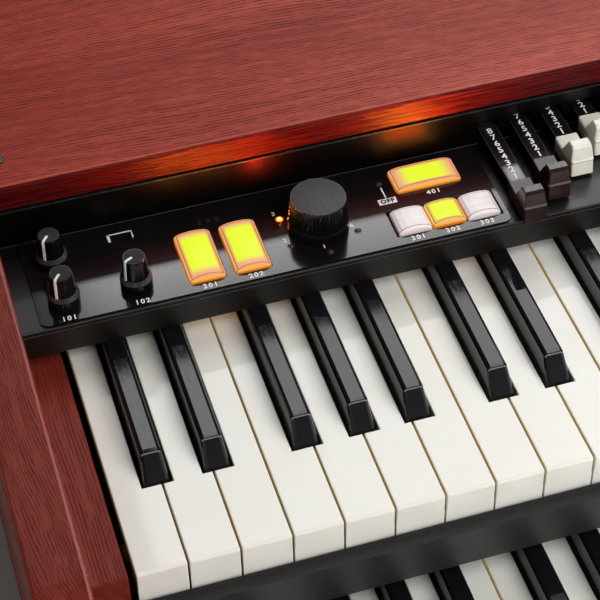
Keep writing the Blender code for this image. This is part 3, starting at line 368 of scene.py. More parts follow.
def grain_noise(finish, grain, along, across, detail, roughness):
    """Noise with one scale along the grain, which runs along X for 0 and along Y for 1, and one across."""
    scales = ((along, across, across), (across, along, across))[grain]
    return finish.noise(1.0, detail, roughness, stretch=scales)


def ivory_base(finish, corner, x, y, z):
    """Cream with faint clouding on top and front, and golden where light filters down between keys."""
    cloud = finish.noise(30.0, 3.0)
    shaded = tuple(channel * factor for channel, factor in zip(IVORY, (0.985, 0.98, 0.96)))
    cream = finish.blend(cloud.rise(0.35, 0.7), IVORY, shaded)
    return finish.blend(key_sides(corner, x, y, z), cream, (0.60, 0.46, 0.22))


def key_sides(corner, x, y, z):
    """1 on the sides of the naturals just below their tops, away from the sharps."""
    below = z.rise(corner.z - 0.2 * MM, corner.z - 0.6 * MM)
    behind_front = y.rise(corner.y + 1.2 * MM, corner.y + 2 * MM)
    plain_gap = y.rise(corner.y + SHARP_NOTCH_Y - 0.3 * MM, corner.y + SHARP_NOTCH_Y - 1.3 * MM)
    margin = 2 * MM
    within = (x - (corner.x - margin)).wrapped(OCTAVE)
    for gap in (margin, margin + 3 * KEY_PITCH):
        plain_gap = plain_gap.most(abs(within - gap).rise(1.6 * MM, 1.3 * MM))
    return below * behind_front * plain_gap


def light_key_sides(finish, corner, x, y, z):
    """A faint golden light in the gaps between naturals, fading with depth."""
    amount = key_sides(corner, x, y, z) * z.rise(corner.z - 7 * MM, corner.z - 0.6 * MM)
    finish.feed("Emission Color", finish.blend(amount, (0, 0, 0), (0.105, 0.078, 0.024)))


def sharp_glint(corner, y, z):
    """1 along the top front arris of every sharp, where a glint is painted."""
    ahead = y - (corner.y + SHARP_TOP_Y)
    on_top = z.rise(corner.z + SHARP_TOP_Z - 0.2 * MM, corner.z + SHARP_TOP_Z + 0.2 * MM)
    return ahead.band(-0.75 * MM, -0.6 * MM, -0.25 * MM, -0.1 * MM) * on_top


def ebony_base(finish, corner, y, z):
    """Black of the sharps with a painted glint on their front arris."""
    return finish.blend(sharp_glint(corner, y, z) * 0.5, EBONY, EBONY_GLINT)


def key_polish(finish):
    """Roughness of polished naturals, with a few fine handling marks."""
    marks = finish.noise(22.0, 4.0, 0.6, stretch=(60.0, 6.0, 60.0))
    return 0.045 + marks.rise(0.5, 0.75) * 0.05


def wiping_marks(finish):
    """Faint streaks along Y, as a cloth leaves them on gloss plastic."""
    return finish.noise(30.0, 4.0, 0.65, stretch=(40.0, 5.0, 40.0)).rise(0.45, 0.75)


def ivory_plastic(name, corner):
    """Polished cream plastic of single keys."""
    finish = Finish(name, IOR=1.49, Subsurface_Weight=0.3, Subsurface_Scale=3 * MM,
                    Subsurface_Radius=(1.0, 0.72, 0.40), Emission_Strength=1.0)
    x, y, z = finish.parts()
    finish.feed("Base Color", ivory_base(finish, corner, x, y, z))
    light_key_sides(finish, corner, x, y, z)
    finish.feed("Roughness", key_polish(finish))
    finish.bump(finish.noise(140.0), 0.02 * MM, 0.2)
    return finish.material


def gloss_plastic(name, base, sheen=0.10):
    """Moulded gloss plastic with a slight ripple and faint wiping marks."""
    finish = Finish(name, IOR=1.5)
    cloud = finish.noise(60.0, 3.0)
    lighter = tuple(min(channel * 1.7 + 0.002, 1.0) for channel in base)
    finish.feed("Base Color", finish.blend(cloud.rise(0.35, 0.75), base, lighter))
    finish.feed("Roughness", sheen + wiping_marks(finish) * 0.12)
    finish.bump(finish.noise(220.0), 0.03 * MM, 0.35)
    return finish.material


def ebony_plastic(name, corner):
    """Gloss black of the single sharps, with a thin painted glint on the front arris."""
    finish = Finish(name, IOR=1.5)
    _, y, z = finish.parts()
    finish.feed("Base Color", ebony_base(finish, corner, y, z))
    finish.feed("Roughness", 0.04 + wiping_marks(finish) * 0.06)
    finish.bump(finish.noise(90.0), 0.03 * MM, 0.2)
    return finish.material


def drawbar_finish(name, base, rear):
    """A coloured cap up to the given distance behind the white fronts, and a black stem behind it.

    The cap's front has a painted highlight on its ledge and painted shade in the undercut below it.
    """
    finish = Finish(name, IOR=1.49)
    _, y, z = finish.parts()
    behind = y - (CORNER.y + rear)
    cloud = finish.noise(60.0, 3.0)
    lighter = tuple(min(channel * 1.12 + 0.002, 1.0) for channel in base)
    cap = finish.blend(cloud.rise(0.35, 0.75), base, lighter)
    front = behind.rise(-CAP_DEPTH, -CAP_DEPTH - 0.5 * MM)
    above = z - (CORNER.z + CAP_STEP)
    # Painted highlight on the ledge of the cap's front, and painted shade in the undercut below it
    ledge_highlight = abs(above - 0.4 * MM).rise(0.5 * MM, 0.3 * MM) * front
    undercut_shade = abs(above + 0.5 * MM).rise(0.55 * MM, 0.35 * MM) * front
    cap = finish.blend(ledge_highlight * 0.7, cap, tuple(channel * 0.9 + 0.12 for channel in base))
    cap = finish.darken(undercut_shade * 0.7, cap, (0.50, 0.45, 0.42))
    finish.feed("Base Color", finish.blend(behind.rise(0.02 * MM, 0.08 * MM), cap, STEM_BLACK))
    finish.feed("Roughness", 0.16 + wiping_marks(finish) * 0.10)
    finish.bump(finish.noise(420.0), 0.03 * MM, 0.35)
    return finish.material


def satin_metal(name, base, roughness, grain=900.0, metallic=0.0):
    """Bare or powder-coated metal with a fine pebbled texture."""
    finish = Finish(name, Metallic=metallic)
    pebble = finish.noise(grain, 2.0, 0.6)
    patch = finish.noise(18.0, 3.0)
    lighter = tuple(channel * 1.8 + 0.003 for channel in base)
    finish.feed("Base Color", finish.blend(pebble.rise(0.4, 0.8), base, lighter))
    finish.feed("Roughness", roughness + patch * 0.12 + pebble * 0.05)
    finish.bump(pebble, 0.05 * MM, 0.5)
    return finish.material


def panel_finish():
    """The control panel: satin deck, dull lip, gloss riser, and the gloss controls of the treble half."""
    finish = Finish("panel_black", IOR=1.5)
    x, y, z = finish.parts()
    riser = y.rise(CORNER.y + RISER_Y - 0.8 * MM, CORNER.y + RISER_Y - 0.3 * MM)
    in_front = y.rise(CORNER.y + LIP_Y + 1.2 * MM, CORNER.y + LIP_Y + 0.9 * MM)
    lip = in_front * z.rise(CORNER.z + DECK_Z - 0.2 * MM, CORNER.z + DECK_Z - 0.4 * MM)
    pebble = finish.noise(900.0, 2.0, 0.6)
    base = finish.blend(pebble.rise(0.4, 0.8), (0.0055, 0.0045, 0.005), (0.011, 0.0095, 0.010))
    base = finish.blend(riser, base, (0.0012, 0.0005, 0.0005))
    base = finish.blend(lip, base, (0.004, 0.0022, 0.0013))
    controls = treble_controls_mask(y, z)
    stops = [(0.0, CAP_SHADES["brown"]), (0.5, CAP_SHADES["black"]), (1.0, CAP_SHADES["white"])]
    shades = finish.ramp(treble_controls_shade(x, y), stops)
    finish.feed("Base Color", finish.blend(controls, base, shades))
    satin = 0.27 + pebble * 0.08 + lip * 0.12
    sheet = (1 - controls) * (1 - riser)
    finish.feed("Roughness", satin * sheet + riser * 0.36 + controls * 0.14)
    finish.bump(pebble * sheet, 0.03 * MM, 0.4)
    return finish.material


def treble_controls_mask(y, z):
    """1 on the caps and buttons that are one solid with the panel, from their height above the deck."""
    before_riser = y.rise(CORNER.y + RISER_Y - 1 * MM, CORNER.y + RISER_Y - 1.5 * MM)
    return z.rise(CORNER.z + DECK_Z + 0.5 * MM, CORNER.z + DECK_Z + 0.9 * MM) * before_riser


def treble_controls_shade(x, y):
    """0 on brown caps, 1 on white caps and buttons, and a half on black caps and on every stem."""
    shade = x.rise(CORNER.x + RIGHT_BUTTONS - 1 * MM, CORNER.x + RIGHT_BUTTONS) * 0.5 + 0.5
    for name, middle, pulled, body in drawbar_rows():
        tone = {"brown": -0.5, "black": 0.0, "white": 0.5}[drawbar_colour(name)]
        if body == "case" and tone != 0:
            rear = CORNER.y + cap_rear(pulled)
            cap = y.rise(rear + 0.08 * MM, rear + 0.02 * MM)
            outward = abs(x - (CORNER.x + middle)) - CAP_HALF_WIDTH
            shade = shade + outward.rise(0.2 * MM, -0.2 * MM) * cap * tone
    return shade


def overlay_finish():
    """Mirror-smooth black laminate with hairline wiping marks."""
    finish = Finish("overlay_gloss", IOR=1.52)
    hairs = finish.noise(60.0, 3.0, 0.7, stretch=(4.0, 90.0, 20.0))
    haze = finish.noise(25.0, 4.0, 0.6)
    base = finish.blend(haze.rise(0.45, 0.8), (0.006, 0.0045, 0.005), (0.012, 0.009, 0.010))
    finish.feed("Base Color", base)
    finish.feed("Roughness", 0.13 + hairs.rise(0.5, 0.8) * 0.08)
    finish.bump(hairs, 0.008 * MM, 0.3)
    return finish.material


def button_distances(finish, centre, size):
    """Distances in from a button's sides, its nearer end and its front, and across from its middle line."""
    x, y, _ = finish.parts()
    sideways = x - (CORNER.x + centre[0])
    from_side = size[0] / 2 - abs(sideways)
    from_end = size[1] / 2 - abs(y - (CORNER.y + centre[1]))
    from_front = y - (CORNER.y + centre[1] - size[1] / 2)
    return from_side, from_end, from_front, sideways


def front_crescent(size, from_front, sideways):
    """The bowed lip that shows through the skin at a button's front end, and the dark line round it."""
    across = sideways * (2.2 / size[0])
    bow = (1 - across * across).most(0)
    depth = from_front - (1.0 * MM + bow * 1.0 * MM)
    inside = depth.rise(0.1 * MM, -0.1 * MM) * from_front.rise(0.5 * MM, 0.8 * MM)
    line = abs(depth).rise(0.38 * MM, 0.22 * MM)
    return inside, line


def wavy_rim(finish, from_side, from_end, depth):
    """Distance in from the nearest edge of a button, made uneven by up to half the depth either way."""
    return from_side.least(from_end) + (finish.noise(240.0) - 0.5) * depth


def lit_button_finish(name, centre, size):
    """Amber cap lit from below: a yellow field under a clear skin whose rim shows paler and brown lines."""
    finish = Finish("glow_" + name, IOR=1.30, Emission_Strength=1.0)
    pale = (0.82, 0.56, 0.13) if name == "preset_b_button" else (0.80, 0.38, 0.20)
    height = finish.parts()[2] - (CORNER.z + PANEL_Z)
    from_side, from_end, from_front, sideways = button_distances(finish, centre, size)
    rim = wavy_rim(finish, from_side, from_end, 0.3 * MM)
    fade_side = 2.5 * MM + max(size[0] - SHORT_BUTTON, 0) * 0.45
    fade_end = 2.6 * MM + max(size[1] - SHORT_BUTTON, 0) * 0.25
    middle = from_side.rise(1.6 * MM, fade_side)
    heart = middle * from_end.rise(1.5 * MM, fade_end) * from_front.rise(1.8 * MM, fade_end * 1.4)
    glass = (0.90, 0.40, 0.040)
    for start, colour in ((0.25, pale), (0.85, (0.42, 0.12, 0.035)), (1.35, pale)):
        glass = finish.blend(rim.rise(start * MM, (start + 0.2) * MM), glass, colour)
    glow = finish.blend(heart, glass, (0.75, 0.92, 0.030))
    inner_line = rim.band(1.9 * MM, 2.1 * MM, 2.4 * MM, 2.6 * MM)
    glow = finish.blend(inner_line * 0.25, glow, (0.40, 0.16, 0.05))
    crescent, outline = front_crescent(size, from_front, sideways)
    glow = finish.blend(crescent, glow, finish.blend(middle * 0.5, pale, (0.62, 0.24, 0.11)))
    glow = finish.blend(outline * 0.6, glow, (0.30, 0.060, 0.015))
    foot = finish.blend(height.rise(0.1 * MM, 1.3 * MM), (0.50, 0.30, 0.20), (1.0, 1.0, 1.0))
    finish.feed("Emission Color", finish.darken(1.0, glow, foot))
    finish.feed("Base Color", finish.blend(heart, (0.10, 0.05, 0.03), (0.10, 0.08, 0.01)))
    finish.feed("Roughness", 0.30 + finish.noise(90.0) * 0.10)
    finish.bump(finish.noise(320.0), 0.04 * MM, 0.3)
    return finish.material


def frosted_button_finish(name, centre, size):
    """Unlit cap: a milky white field under a clear skin, with pink walls and fine dark lines."""
    finish = Finish("frost_" + name, IOR=1.35)
    from_side, from_end, from_front, sideways = button_distances(finish, centre, size)
    rim = wavy_rim(finish, from_side, from_end, 0.5 * MM)
    streaks = finish.noise(110.0, 3.0, 0.6, 0.3, stretch=(1.0, 4.0, 1.0))
    milk = finish.ramp(streaks, ((0.30, (0.88, 0.82, 0.82)), (0.52, (0.97, 0.91, 0.91)),
                                 (0.70, (1.0, 0.97, 0.96))))
    colour = finish.blend(from_side.rise(0.1 * MM, 0.4 * MM), (0.80, 0.44, 0.34), (0.92, 0.80, 0.78))
    colour = finish.blend(rim.rise(1.1 * MM, 1.9 * MM), colour, milk)
    side_line = rim.band(1.3 * MM, 1.5 * MM, 1.7 * MM, 1.9 * MM)
    crescent, outline = front_crescent(size, from_front, sideways)
    colour = finish.blend(side_line * 0.45, colour, (0.42, 0.30, 0.29))
    colour = finish.blend(crescent, colour, (0.94, 0.86, 0.85))
    finish.feed("Base Color", finish.blend(outline * 0.6, colour, (0.16, 0.07, 0.065)))
    finish.feed("Roughness", 0.26 + streaks * 0.14)
    finish.bump(streaks, 0.08 * MM, 0.4)
    return finish.material


def lamp_finish(name, centre):
    """A lit indicator: pale yellow at its middle and orange towards its edge."""
    finish = Finish(name, IOR=1.49, Emission_Strength=5.0)
    x, y, _ = finish.parts()
    across = x - (CORNER.x + centre[0])
    along = y - (CORNER.y + centre[1])
    edge = (across * across + along * along).root().rise(0.5 * MM, 1.7 * MM)
    finish.feed("Emission Color", finish.blend(edge, (1.0, 0.40, 0.060), (0.22, 0.030, 0.002)))
    finish.feed("Base Color", finish.blend(edge, (0.40, 0.12, 0.03), (0.10, 0.02, 0.01)))
    return finish.material


def plain_print(name, colour):
    """Screen-printed ink with slightly uneven cover."""
    finish = Finish(name, Roughness=0.5, Specular_IOR_Level=0.1)
    cover = finish.noise(900.0)
    worn = tuple(channel * 0.72 for channel in colour)
    finish.feed("Base Color", finish.blend(cover.rise(0.35, 0.75), colour, worn))
    return finish.material


def knob_cap_finish(name, grey):
    """Grey knob top with a fine moulded grit."""
    finish = Finish(name, Specular_IOR_Level=0.35)
    grit = finish.noise(1700.0, 2.0, 0.7)
    dark = (grey * 0.2, grey * 0.19, grey * 0.21)
    finish.feed("Base Color", finish.blend(grit.rise(0.38, 0.66), dark, (grey, grey * 0.94, grey)))
    finish.feed("Roughness", 0.40 + grit * 0.2)
    finish.bump(grit, 0.12 * MM, 0.6)
    return finish.material


def board_finish():
    """Green circuit board with tracks under its lacquer, and black where its components stand."""
    finish = Finish("circuit_board_green")
    values = {"Vector": finish.place, "Scale": 220.0}
    tracks = finish.node("ShaderNodeTexVoronoi", {"distance": "MANHATTAN"}, values)
    green = finish.blend(tracks.rise(0.3, 0.4), (0.01, 0.12, 0.05), (0.02, 0.20, 0.09))
    z = finish.parts()[2]
    components = z.rise(BOARD_Z, BOARD_Z + 0.5 * MM)
    finish.feed("Base Color", finish.blend(components, green, (0.02, 0.02, 0.022)))
    finish.feed("Roughness", 0.35 + tracks * 0.2)
    finish.bump(tracks, 0.1 * MM, 0.4)
    return finish.material


def rubber_finish():
    """Matt black rubber of the feet."""
    finish = Finish("foot_rubber", Specular_IOR_Level=0.3)
    speck = finish.noise(1200.0, 3.0, 0.7)
    base = finish.blend(speck.rise(0.4, 0.8), (0.014, 0.014, 0.014), (0.035, 0.034, 0.033))
    finish.feed("Base Color", base)
    finish.feed("Roughness", 0.7 + speck * 0.2)
    finish.bump(speck, 0.15 * MM, 0.6)
    return finish.material


def fibreboard_finish():
    """Raw dark fibreboard of the base."""
    finish = Finish("base_fibreboard", Specular_IOR_Level=0.3)
    fibres = finish.noise(260.0, 5.0, 0.75, stretch=(1.0, 1.0, 6.0))
    stops = ((0.3, (0.028, 0.017, 0.012)), (0.7, (0.085, 0.055, 0.038)))
    finish.feed("Base Color", finish.ramp(fibres, stops))
    finish.feed("Roughness", 0.65 + fibres * 0.2)
    finish.bump(fibres, 0.3 * MM, 0.5)
    return finish.material


def keyboard_finish(name, corner):
    """Cream naturals, black sharps and the dark keybed of one keyboard, told apart by place."""
    finish = Finish(name, IOR=1.5, Emission_Strength=1.0)
    x, y, z = finish.parts()
    light_key_sides(finish, corner, x, y, z)
    cream = ivory_base(finish, corner, x, y, z)
    keys = finish.blend(sharp_mask(corner, x, y), cream, ebony_base(finish, corner, y, z))
    below = z.rise(corner.z - NATURAL_FRONT_HEIGHT, corner.z - NATURAL_FRONT_HEIGHT - 0.3 * MM)
    under = z.rise(corner.z - NATURAL_THICKNESS, corner.z - NATURAL_THICKNESS - 0.3 * MM)
    bed = below.most(under * y.rise(corner.y + KEYBED_Y, corner.y + KEYBED_Y + 1 * MM))
    finish.feed("Base Color", finish.blend(bed, keys, (0.020, 0.019, 0.020)))
    finish.feed("Roughness", key_polish(finish) + bed * 0.35)
    finish.bump(finish.noise(140.0), 0.02 * MM, 0.3)
    return finish.material


def sharp_mask(corner, x, y):
    """1 on the sharps of a keyboard, from their places within the octave."""
    within = (x - corner.x).wrapped(OCTAVE)
    mask = None
    for middle in SHARP_MIDDLES:
        near = abs(within - middle).rise(SHARP_HALF_WIDTH + 0.05 * MM, SHARP_HALF_WIDTH - 0.05 * MM)
        mask = near if mask is None else mask.most(near)
    end = corner.x + (NATURALS - 1) * KEY_PITCH
    behind = y - (corner.y + SHARP_NOTCH_Y)
    return mask * behind.rise(-0.1 * MM, 0.1 * MM) * x.rise(end, end - 0.1 * MM)


# Pieces


def on_panel(x, y, z=PANEL_Z):
    """The point that lies this far right of, behind and above the corner."""
    return CORNER + Vector((x, y, z))


def make_piece(name, bm, finish, body):
    """A new mesh object, drawn in the CAD's coordinates, that rides on a body."""
    bmesh.ops.recalc_face_normals(bm, faces=bm.faces)
    mesh = bpy.data.meshes.new(name)
    bm.to_mesh(mesh)
    bm.free()
    piece = bpy.data.objects.new(name, mesh)
    piece.data.materials.append(finish)
    bpy.context.scene.collection.objects.link(piece)
    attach(piece, body)
    return piece


def smooth(piece, angle=35):
    """Smooth shading, with edges that turn by more than the angle left sharp."""
    piece.data.shade_smooth()
    piece.data.set_sharp_from_angle(angle=math.radians(angle))


def add_layers(bm, loops):
    """Skin a stack of closed loops with equal counts and close both ends."""
    rings = [[bm.verts.new(point) for point in loop] for loop in loops]
    count = len(rings[0])
    for lower, upper in zip(rings, rings[1:]):
        for i in range(count):
            after = (i + 1) % count
            bm.faces.new((lower[i], lower[after], upper[after], upper[i]))
    bm.faces.new(list(reversed(rings[0])))
    bm.faces.new(rings[-1])


def circle(centre, radius, height, segments):
    """Points of a level circle round a vertical axis through centre."""
    angles = [math.tau * i / segments for i in range(segments)]
    return [(centre[0] + radius * math.cos(a), centre[1] + radius * math.sin(a), height) for a in angles]


def make_turned(name, profile, centre, segments, finish, body):
    """A piece turned from (radius, height) points about a vertical axis through centre."""
    bm = bmesh.new()
    add_layers(bm, [circle(centre, radius, height, segments) for radius, height in profile])
    return make_piece(name, bm, finish, body)


def make_collar(name, section, centre, segments, finish, body):
    """A piece with a closed (radius, height) section turned round a vertical axis."""
    bm = bmesh.new()
    rows = [[bm.verts.new(point) for point in circle(centre, radius, height, segments)]
            for radius, height in section]
    for row, following in zip(rows, rows[1:] + rows[:1]):
        for i in range(segments):
            after = (i + 1) % segments
            bm.faces.new((row[i], row[after], following[after], following[i]))
    return make_piece(name, bm, finish, body)


def make_boxes(name, boxes, finish, body):
    """One piece made of upright boxes, each given by its lowest and highest corners."""
    bm = bmesh.new()
    for low, high in boxes:
        corners = ((low.x, low.y), (high.x, low.y), (high.x, high.y), (low.x, high.y))
        add_layers(bm, [[(x, y, z) for x, y in corners] for z in (low.z, high.z)])
    return make_piece(name, bm, finish, body)


def add_stroke(bm, start, end, width, low, high):
    """A printed straight line between two (x, y) points, as a thin slab."""
    direction = (Vector(end) - Vector(start)).normalized()
    side = Vector((-direction.y, direction.x)) * width / 2
    corners = [Vector(start) - side, Vector(end) - side, Vector(end) + side, Vector(start) + side]
    add_layers(bm, [[(corner.x, corner.y, z) for corner in corners] for z in (low, high)])


def place_text(name, words, centre, height, finish, body, weight=0.0, spacing=1.0):
    """Flat printed characters centred on a point; weight is how far each stroke is widened."""
    thickness = 0.03 * MM
    curve = bpy.data.curves.new(name, "FONT")
    curve.body = words
    curve.align_x = "CENTER"
    curve.align_y = "CENTER"
    curve.size = height / CAPITAL_HEIGHT
    curve.offset = weight
    curve.space_character = spacing
    curve.extrude = thickness / 2
    curve.resolution_u = 3
    piece = bpy.data.objects.new(name, curve)
    piece.location = Vector(centre) + Vector((0, 0, thickness / 2))
    piece.data.materials.append(finish)
    bpy.context.scene.collection.objects.link(piece)
    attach(piece, body)
    return piece


def dress_small_knobs(cap, shoulder, pointer):
    """Grey cap, glossy shoulder above the flange and a white pointer over the top and down the side."""
    foot = CORNER.z + PANEL_Z
    top = foot + SMALL_KNOB_TOP
    profile = ((4.9 * MM, top), (4.7 * MM, top + 0.25 * MM))
    section = [(radius * MM, foot + height * MM) for radius, height in SHOULDER_SECTION]
    for name, (place, turn) in SMALL_KNOBS.items():
        centre = on_panel(*place)
        make_turned(name + "_cap", profile, centre, 32, cap, name)
        smooth(make_collar(name + "_shoulder", section, centre, 48, shoulder, name), 50)
        bm = bmesh.new()
        add_pointer(bm, Vector(centre[:2]), Vector((math.cos(turn), math.sin(turn))), top)
        make_piece(name + "_pointer", bm, pointer, name)


def add_pointer(bm, middle, outward, top):
    """A printed line from near the middle of a small knob's top to its rim, and down its side."""
    start = middle + outward * 1.2 * MM
    end = middle + outward * 5.25 * MM
    add_stroke(bm, start, end, 1.2 * MM, top + 0.1 * MM, top + 0.4 * MM)
    side = Vector((-outward.y, outward.x)) * 0.6 * MM
    loops = []
    for drop, reach in ((-0.3 * MM, 5.45 * MM), (0.9 * MM, 5.8 * MM), (11.2 * MM, 6.35 * MM)):
        inner = middle + outward * (reach - 0.4 * MM)
        outer = middle + outward * (reach + 0.12 * MM)
        corners = (inner - side, outer - side, outer + side, inner + side)
        loops.append([(corner.x, corner.y, top - drop) for corner in corners])
    add_layers(bm, loops)


def dress_vibrato_knob(cap):
    """The large knob's flat grey cap."""
    top = CORNER.z + PANEL_Z + VIBRATO_KNOB_TOP
    profile = ((13.1 * MM, top), (13.0 * MM, top + 0.25 * MM), (12.7 * MM, top + 0.35 * MM))
    centre = on_panel(*VIBRATO_KNOB)
    smooth(make_turned("vibrato_knob_cap", profile, centre, 64, cap, "vibrato_knob"))


def lamp_points():
    """Places of the lamps round the large knob, clockwise from its front."""
    points = []
    for step in range(LAMP_COUNT):
        angle = math.radians(270 - 360 / LAMP_COUNT * step)
        points.append((VIBRATO_KNOB[0] + LAMP_RING_RADIUS * math.cos(angle),
                       VIBRATO_KNOB[1] + LAMP_RING_RADIUS * math.sin(angle)))
    return points


def place_lamps(dark, lit, rim):
    """Domed lamps in the overlay's holes; one of those round the large knob is on."""
    base = CORNER.z + PANEL_Z
    dome = LAMP_RADIUS - 0.35 * MM
    angles = [math.radians(15 * step) for step in range(6)]
    profile = [(dome, base - 0.8 * MM)]
    profile += [(dome * math.cos(a), base - 0.3 * MM + 1.1 * MM * math.sin(a)) for a in angles]
    inner = LAMP_RADIUS - 0.3 * MM
    outer = LAMP_RADIUS + 0.12 * MM
    low = base - 0.5 * MM
    high = base + 0.12 * MM
    section = ((inner, low), (outer, low), (outer, high), (inner, high))
    places = [(f"vibrato_lamp_{i + 1}", point, i == LIT_LAMP) for i, point in enumerate(lamp_points())]
    places.append(("rotary_lamp", ROTARY_LAMP, False))
    for name, point, on in places:
        centre = on_panel(*point)
        smooth(make_turned(name, profile, centre, 20, lit if on else dark, "case"), 60)
        ring = lit if on else rim
        smooth(make_collar(name + "_rim", section, centre, 24, ring, "case"))


def print_panel(ink, faint, inverse):
    """Plain numbers, a bracket and the switch label on the left overlay."""
    for name, (words, x, y) in PANEL_NUMBERS.items():
        print_number(name, words, x * MM, y * MM, 2.8 * MM, ink, 0.10 * MM, 1.3)
    print_number("vibrato_number", "200", 81 * MM, 173.6 * MM, 3 * MM, faint, 0.08 * MM, 2)
    for i, (x, y) in enumerate(lamp_points()):
        name = f"vibrato_number_{i + 1}"
        print_number(name, str(i + 1), x - 1.8 * MM, y + 4.4 * MM, 2.6 * MM, ink, 0.10 * MM, 1)
    bm = bmesh.new()
    for start, end, width in PANEL_STROKES:
        start = on_panel(start[0] * MM, start[1] * MM)
        end = on_panel(end[0] * MM, end[1] * MM)
        add_stroke(bm, start[:2], end[:2], width * MM, start.z + 0.01 * MM, start.z + 0.04 * MM)
    make_piece("panel_lines", bm, ink, "case")
    low = on_panel(*OFF_FIELD[0], PANEL_Z + 0.01 * MM)
    high = on_panel(*OFF_FIELD[1], PANEL_Z + 0.05 * MM)
    make_boxes("off_label_field", [(low, high)], ink, "case")
    spot = (low + high) / 2
    spot.z = high.z + 0.02 * MM
    place_text("off_label", "OFF", spot, 2.6 * MM, inverse, "case", weight=0.20 * MM, spacing=1.15)


def print_number(name, words, x, y, height, ink, weight, spacing):
    """Characters printed on the overlay at a place measured from the corner."""
    spot = on_panel(x, y, PANEL_Z + 0.02 * MM)
    place_text(name, words, spot, height, ink, "case", weight=weight, spacing=spacing)


def drawbar_rows():
    """Name, middle, registration and body of each drawbar."""
    rows = []
    for i, pulled in enumerate(UPPER_REGISTRATION):
        middle = UPPER_DRAWBAR_X + i * DRAWBAR_PITCH
        rows.append((f"upper_{i + 1}", middle, pulled, f"upper_drawbar_{i + 1}"))
    pedal_first = (KEYBOARD_WIDTH - DRAWBAR_PITCH) / 2
    for i, pulled in enumerate(PEDAL_REGISTRATION):
        rows.append((f"pedal_{i + 1}", pedal_first + i * DRAWBAR_PITCH, pulled, "case"))
    lower_first = KEYBOARD_WIDTH - UPPER_DRAWBAR_X - 8 * DRAWBAR_PITCH
    for i, pulled in enumerate(LOWER_REGISTRATION):
        rows.append((f"lower_{i + 1}", lower_first + i * DRAWBAR_PITCH, pulled, "case"))
    return rows


def drawbar_colour(name):
    """Pedal drawbars are brown, and the others are coloured by their number."""
    group, number = name.split("_")
    return "brown" if group == "pedal" else DRAWBAR_COLOURS[int(number) - 1]


def cap_rear(pulled):
    """Distance of a cap's rear edge behind the white fronts for a registration of 0 to 8."""
    return PULLED_CAP_REAR + (8 - pulled) * DRAWBAR_STEP


def print_drawbars(ink, strip_finish, edge_highlight_finish):
    """The gloss strip let into each stem, its printed steps 1 to 8, and grey lines painted
    as highlights on the edges of the stem.
    """
    for name, x, pulled, body in drawbar_rows():
        rear = cap_rear(pulled)
        start = rear + 0.6 * MM
        end = rear + STRIP_REACH
        strip = (on_panel(x - STRIP_HALF_WIDTH, start, STEM_TOP + 0.01 * MM),
                 on_panel(x + STRIP_HALF_WIDTH, end, STEM_TOP + 0.05 * MM))
        make_boxes(f"{name}_strip", [strip], strip_finish, body)
        # Grey lines painted as highlights on the stem's two edges
        edges = [(on_panel(edge - 0.12 * MM, start, STEM_TOP - 0.35 * MM),
                  on_panel(edge + 0.12 * MM, end, STEM_TOP - 0.08 * MM))
                 for edge in (x - STEM_EDGE, x + STEM_EDGE)]
        make_boxes(f"{name}_edges", edges, edge_highlight_finish, body)
        for digit in range(1, 9):
            y = rear + FIRST_DIGIT_SETBACK + (digit - 1) * DRAWBAR_STEP
            spot = on_panel(x, y, STEM_TOP + 0.05 * MM)
            place_text(f"{name}_step_{digit}", str(digit), spot, 3.9 * MM, ink, body, 0.12 * MM)


def place_lid_screw(steel, washer, socket):
    """Socket-head screw in a cup washer at the bass end of the lid."""
    centre = on_panel(*LID_SCREW, LID_Z)
    for name, section, segments, finish, slot in (
            ("lid_washer", ((3.9, 0), (3.8, 0.5), (3.2, 0.9), (2.9, 0.9)), 32, washer, "black_metal"),
            ("lid_screw", ((2.7, 0.6), (2.6, 1.2), (2.1, 1.7), (1.5, 1.8)), 32, steel, "supply_case"),
            ("lid_screw_socket", ((1.25, 1.7), (1.25, 1.85)), 6, socket, "black_metal")):
        profile = [(radius * MM, centre.z + height * MM) for radius, height in section]
        smooth(make_turned(name, profile, centre, segments, finish, "case"))


def place_trim(grey, highlight_grey):
    """Grey cut edge of the riser under the lid.

    Thin grey lines paint the highlights on the edges of the overlay and the lip.
    """
    left = -20 * MM
    right = KEYBOARD_WIDTH + 20 * MM
    edge = (on_panel(left, RISER_Y - 1.3 * MM, RISER_EDGE_Z),
            on_panel(right, RISER_Y - 0.2 * MM, RISER_EDGE_Z + 0.8 * MM))
    make_boxes("riser_edge", [edge], grey, "case")
    # Painted highlights along the lip's two edges and the overlay's rear edge
    lip_highlights = ((LIP_Y, DECK_Z - 0.3 * MM), (LIP_Y - 0.3 * MM, DECK_Z - 2.4 * MM))
    lines = [(on_panel(left, y - 0.15 * MM, z - 0.15 * MM), on_panel(right, y + 0.15 * MM, z + 0.15 * MM))
             for y, z in ((OVERLAY_REAR, PANEL_Z), *lip_highlights)]
    make_boxes("panel_edge_highlights", lines, highlight_grey, "case")


# Room, lights and camera


def build_room():
    """A plain pale floor."""
    bm = bmesh.new()
    for corner in ((-6, -6, 0), (6, -6, 0), (6, 6, 0), (-6, 6, 0)):
        bm.verts.new(corner)
    bm.faces.new(bm.verts)
    mesh = bpy.data.meshes.new("floor")
    bm.to_mesh(mesh)
    bm.free()
    floor = bpy.data.objects.new("floor", mesh)
    bpy.context.scene.collection.objects.link(floor)
    finish = Finish("floor_paper", Roughness=0.8, Specular_IOR_Level=0.2)
    grain = finish.noise(400.0)
    finish.feed("Base Color", finish.blend(grain, (0.80, 0.78, 0.74), (0.84, 0.82, 0.78)))
    floor.data.materials.append(finish.material)


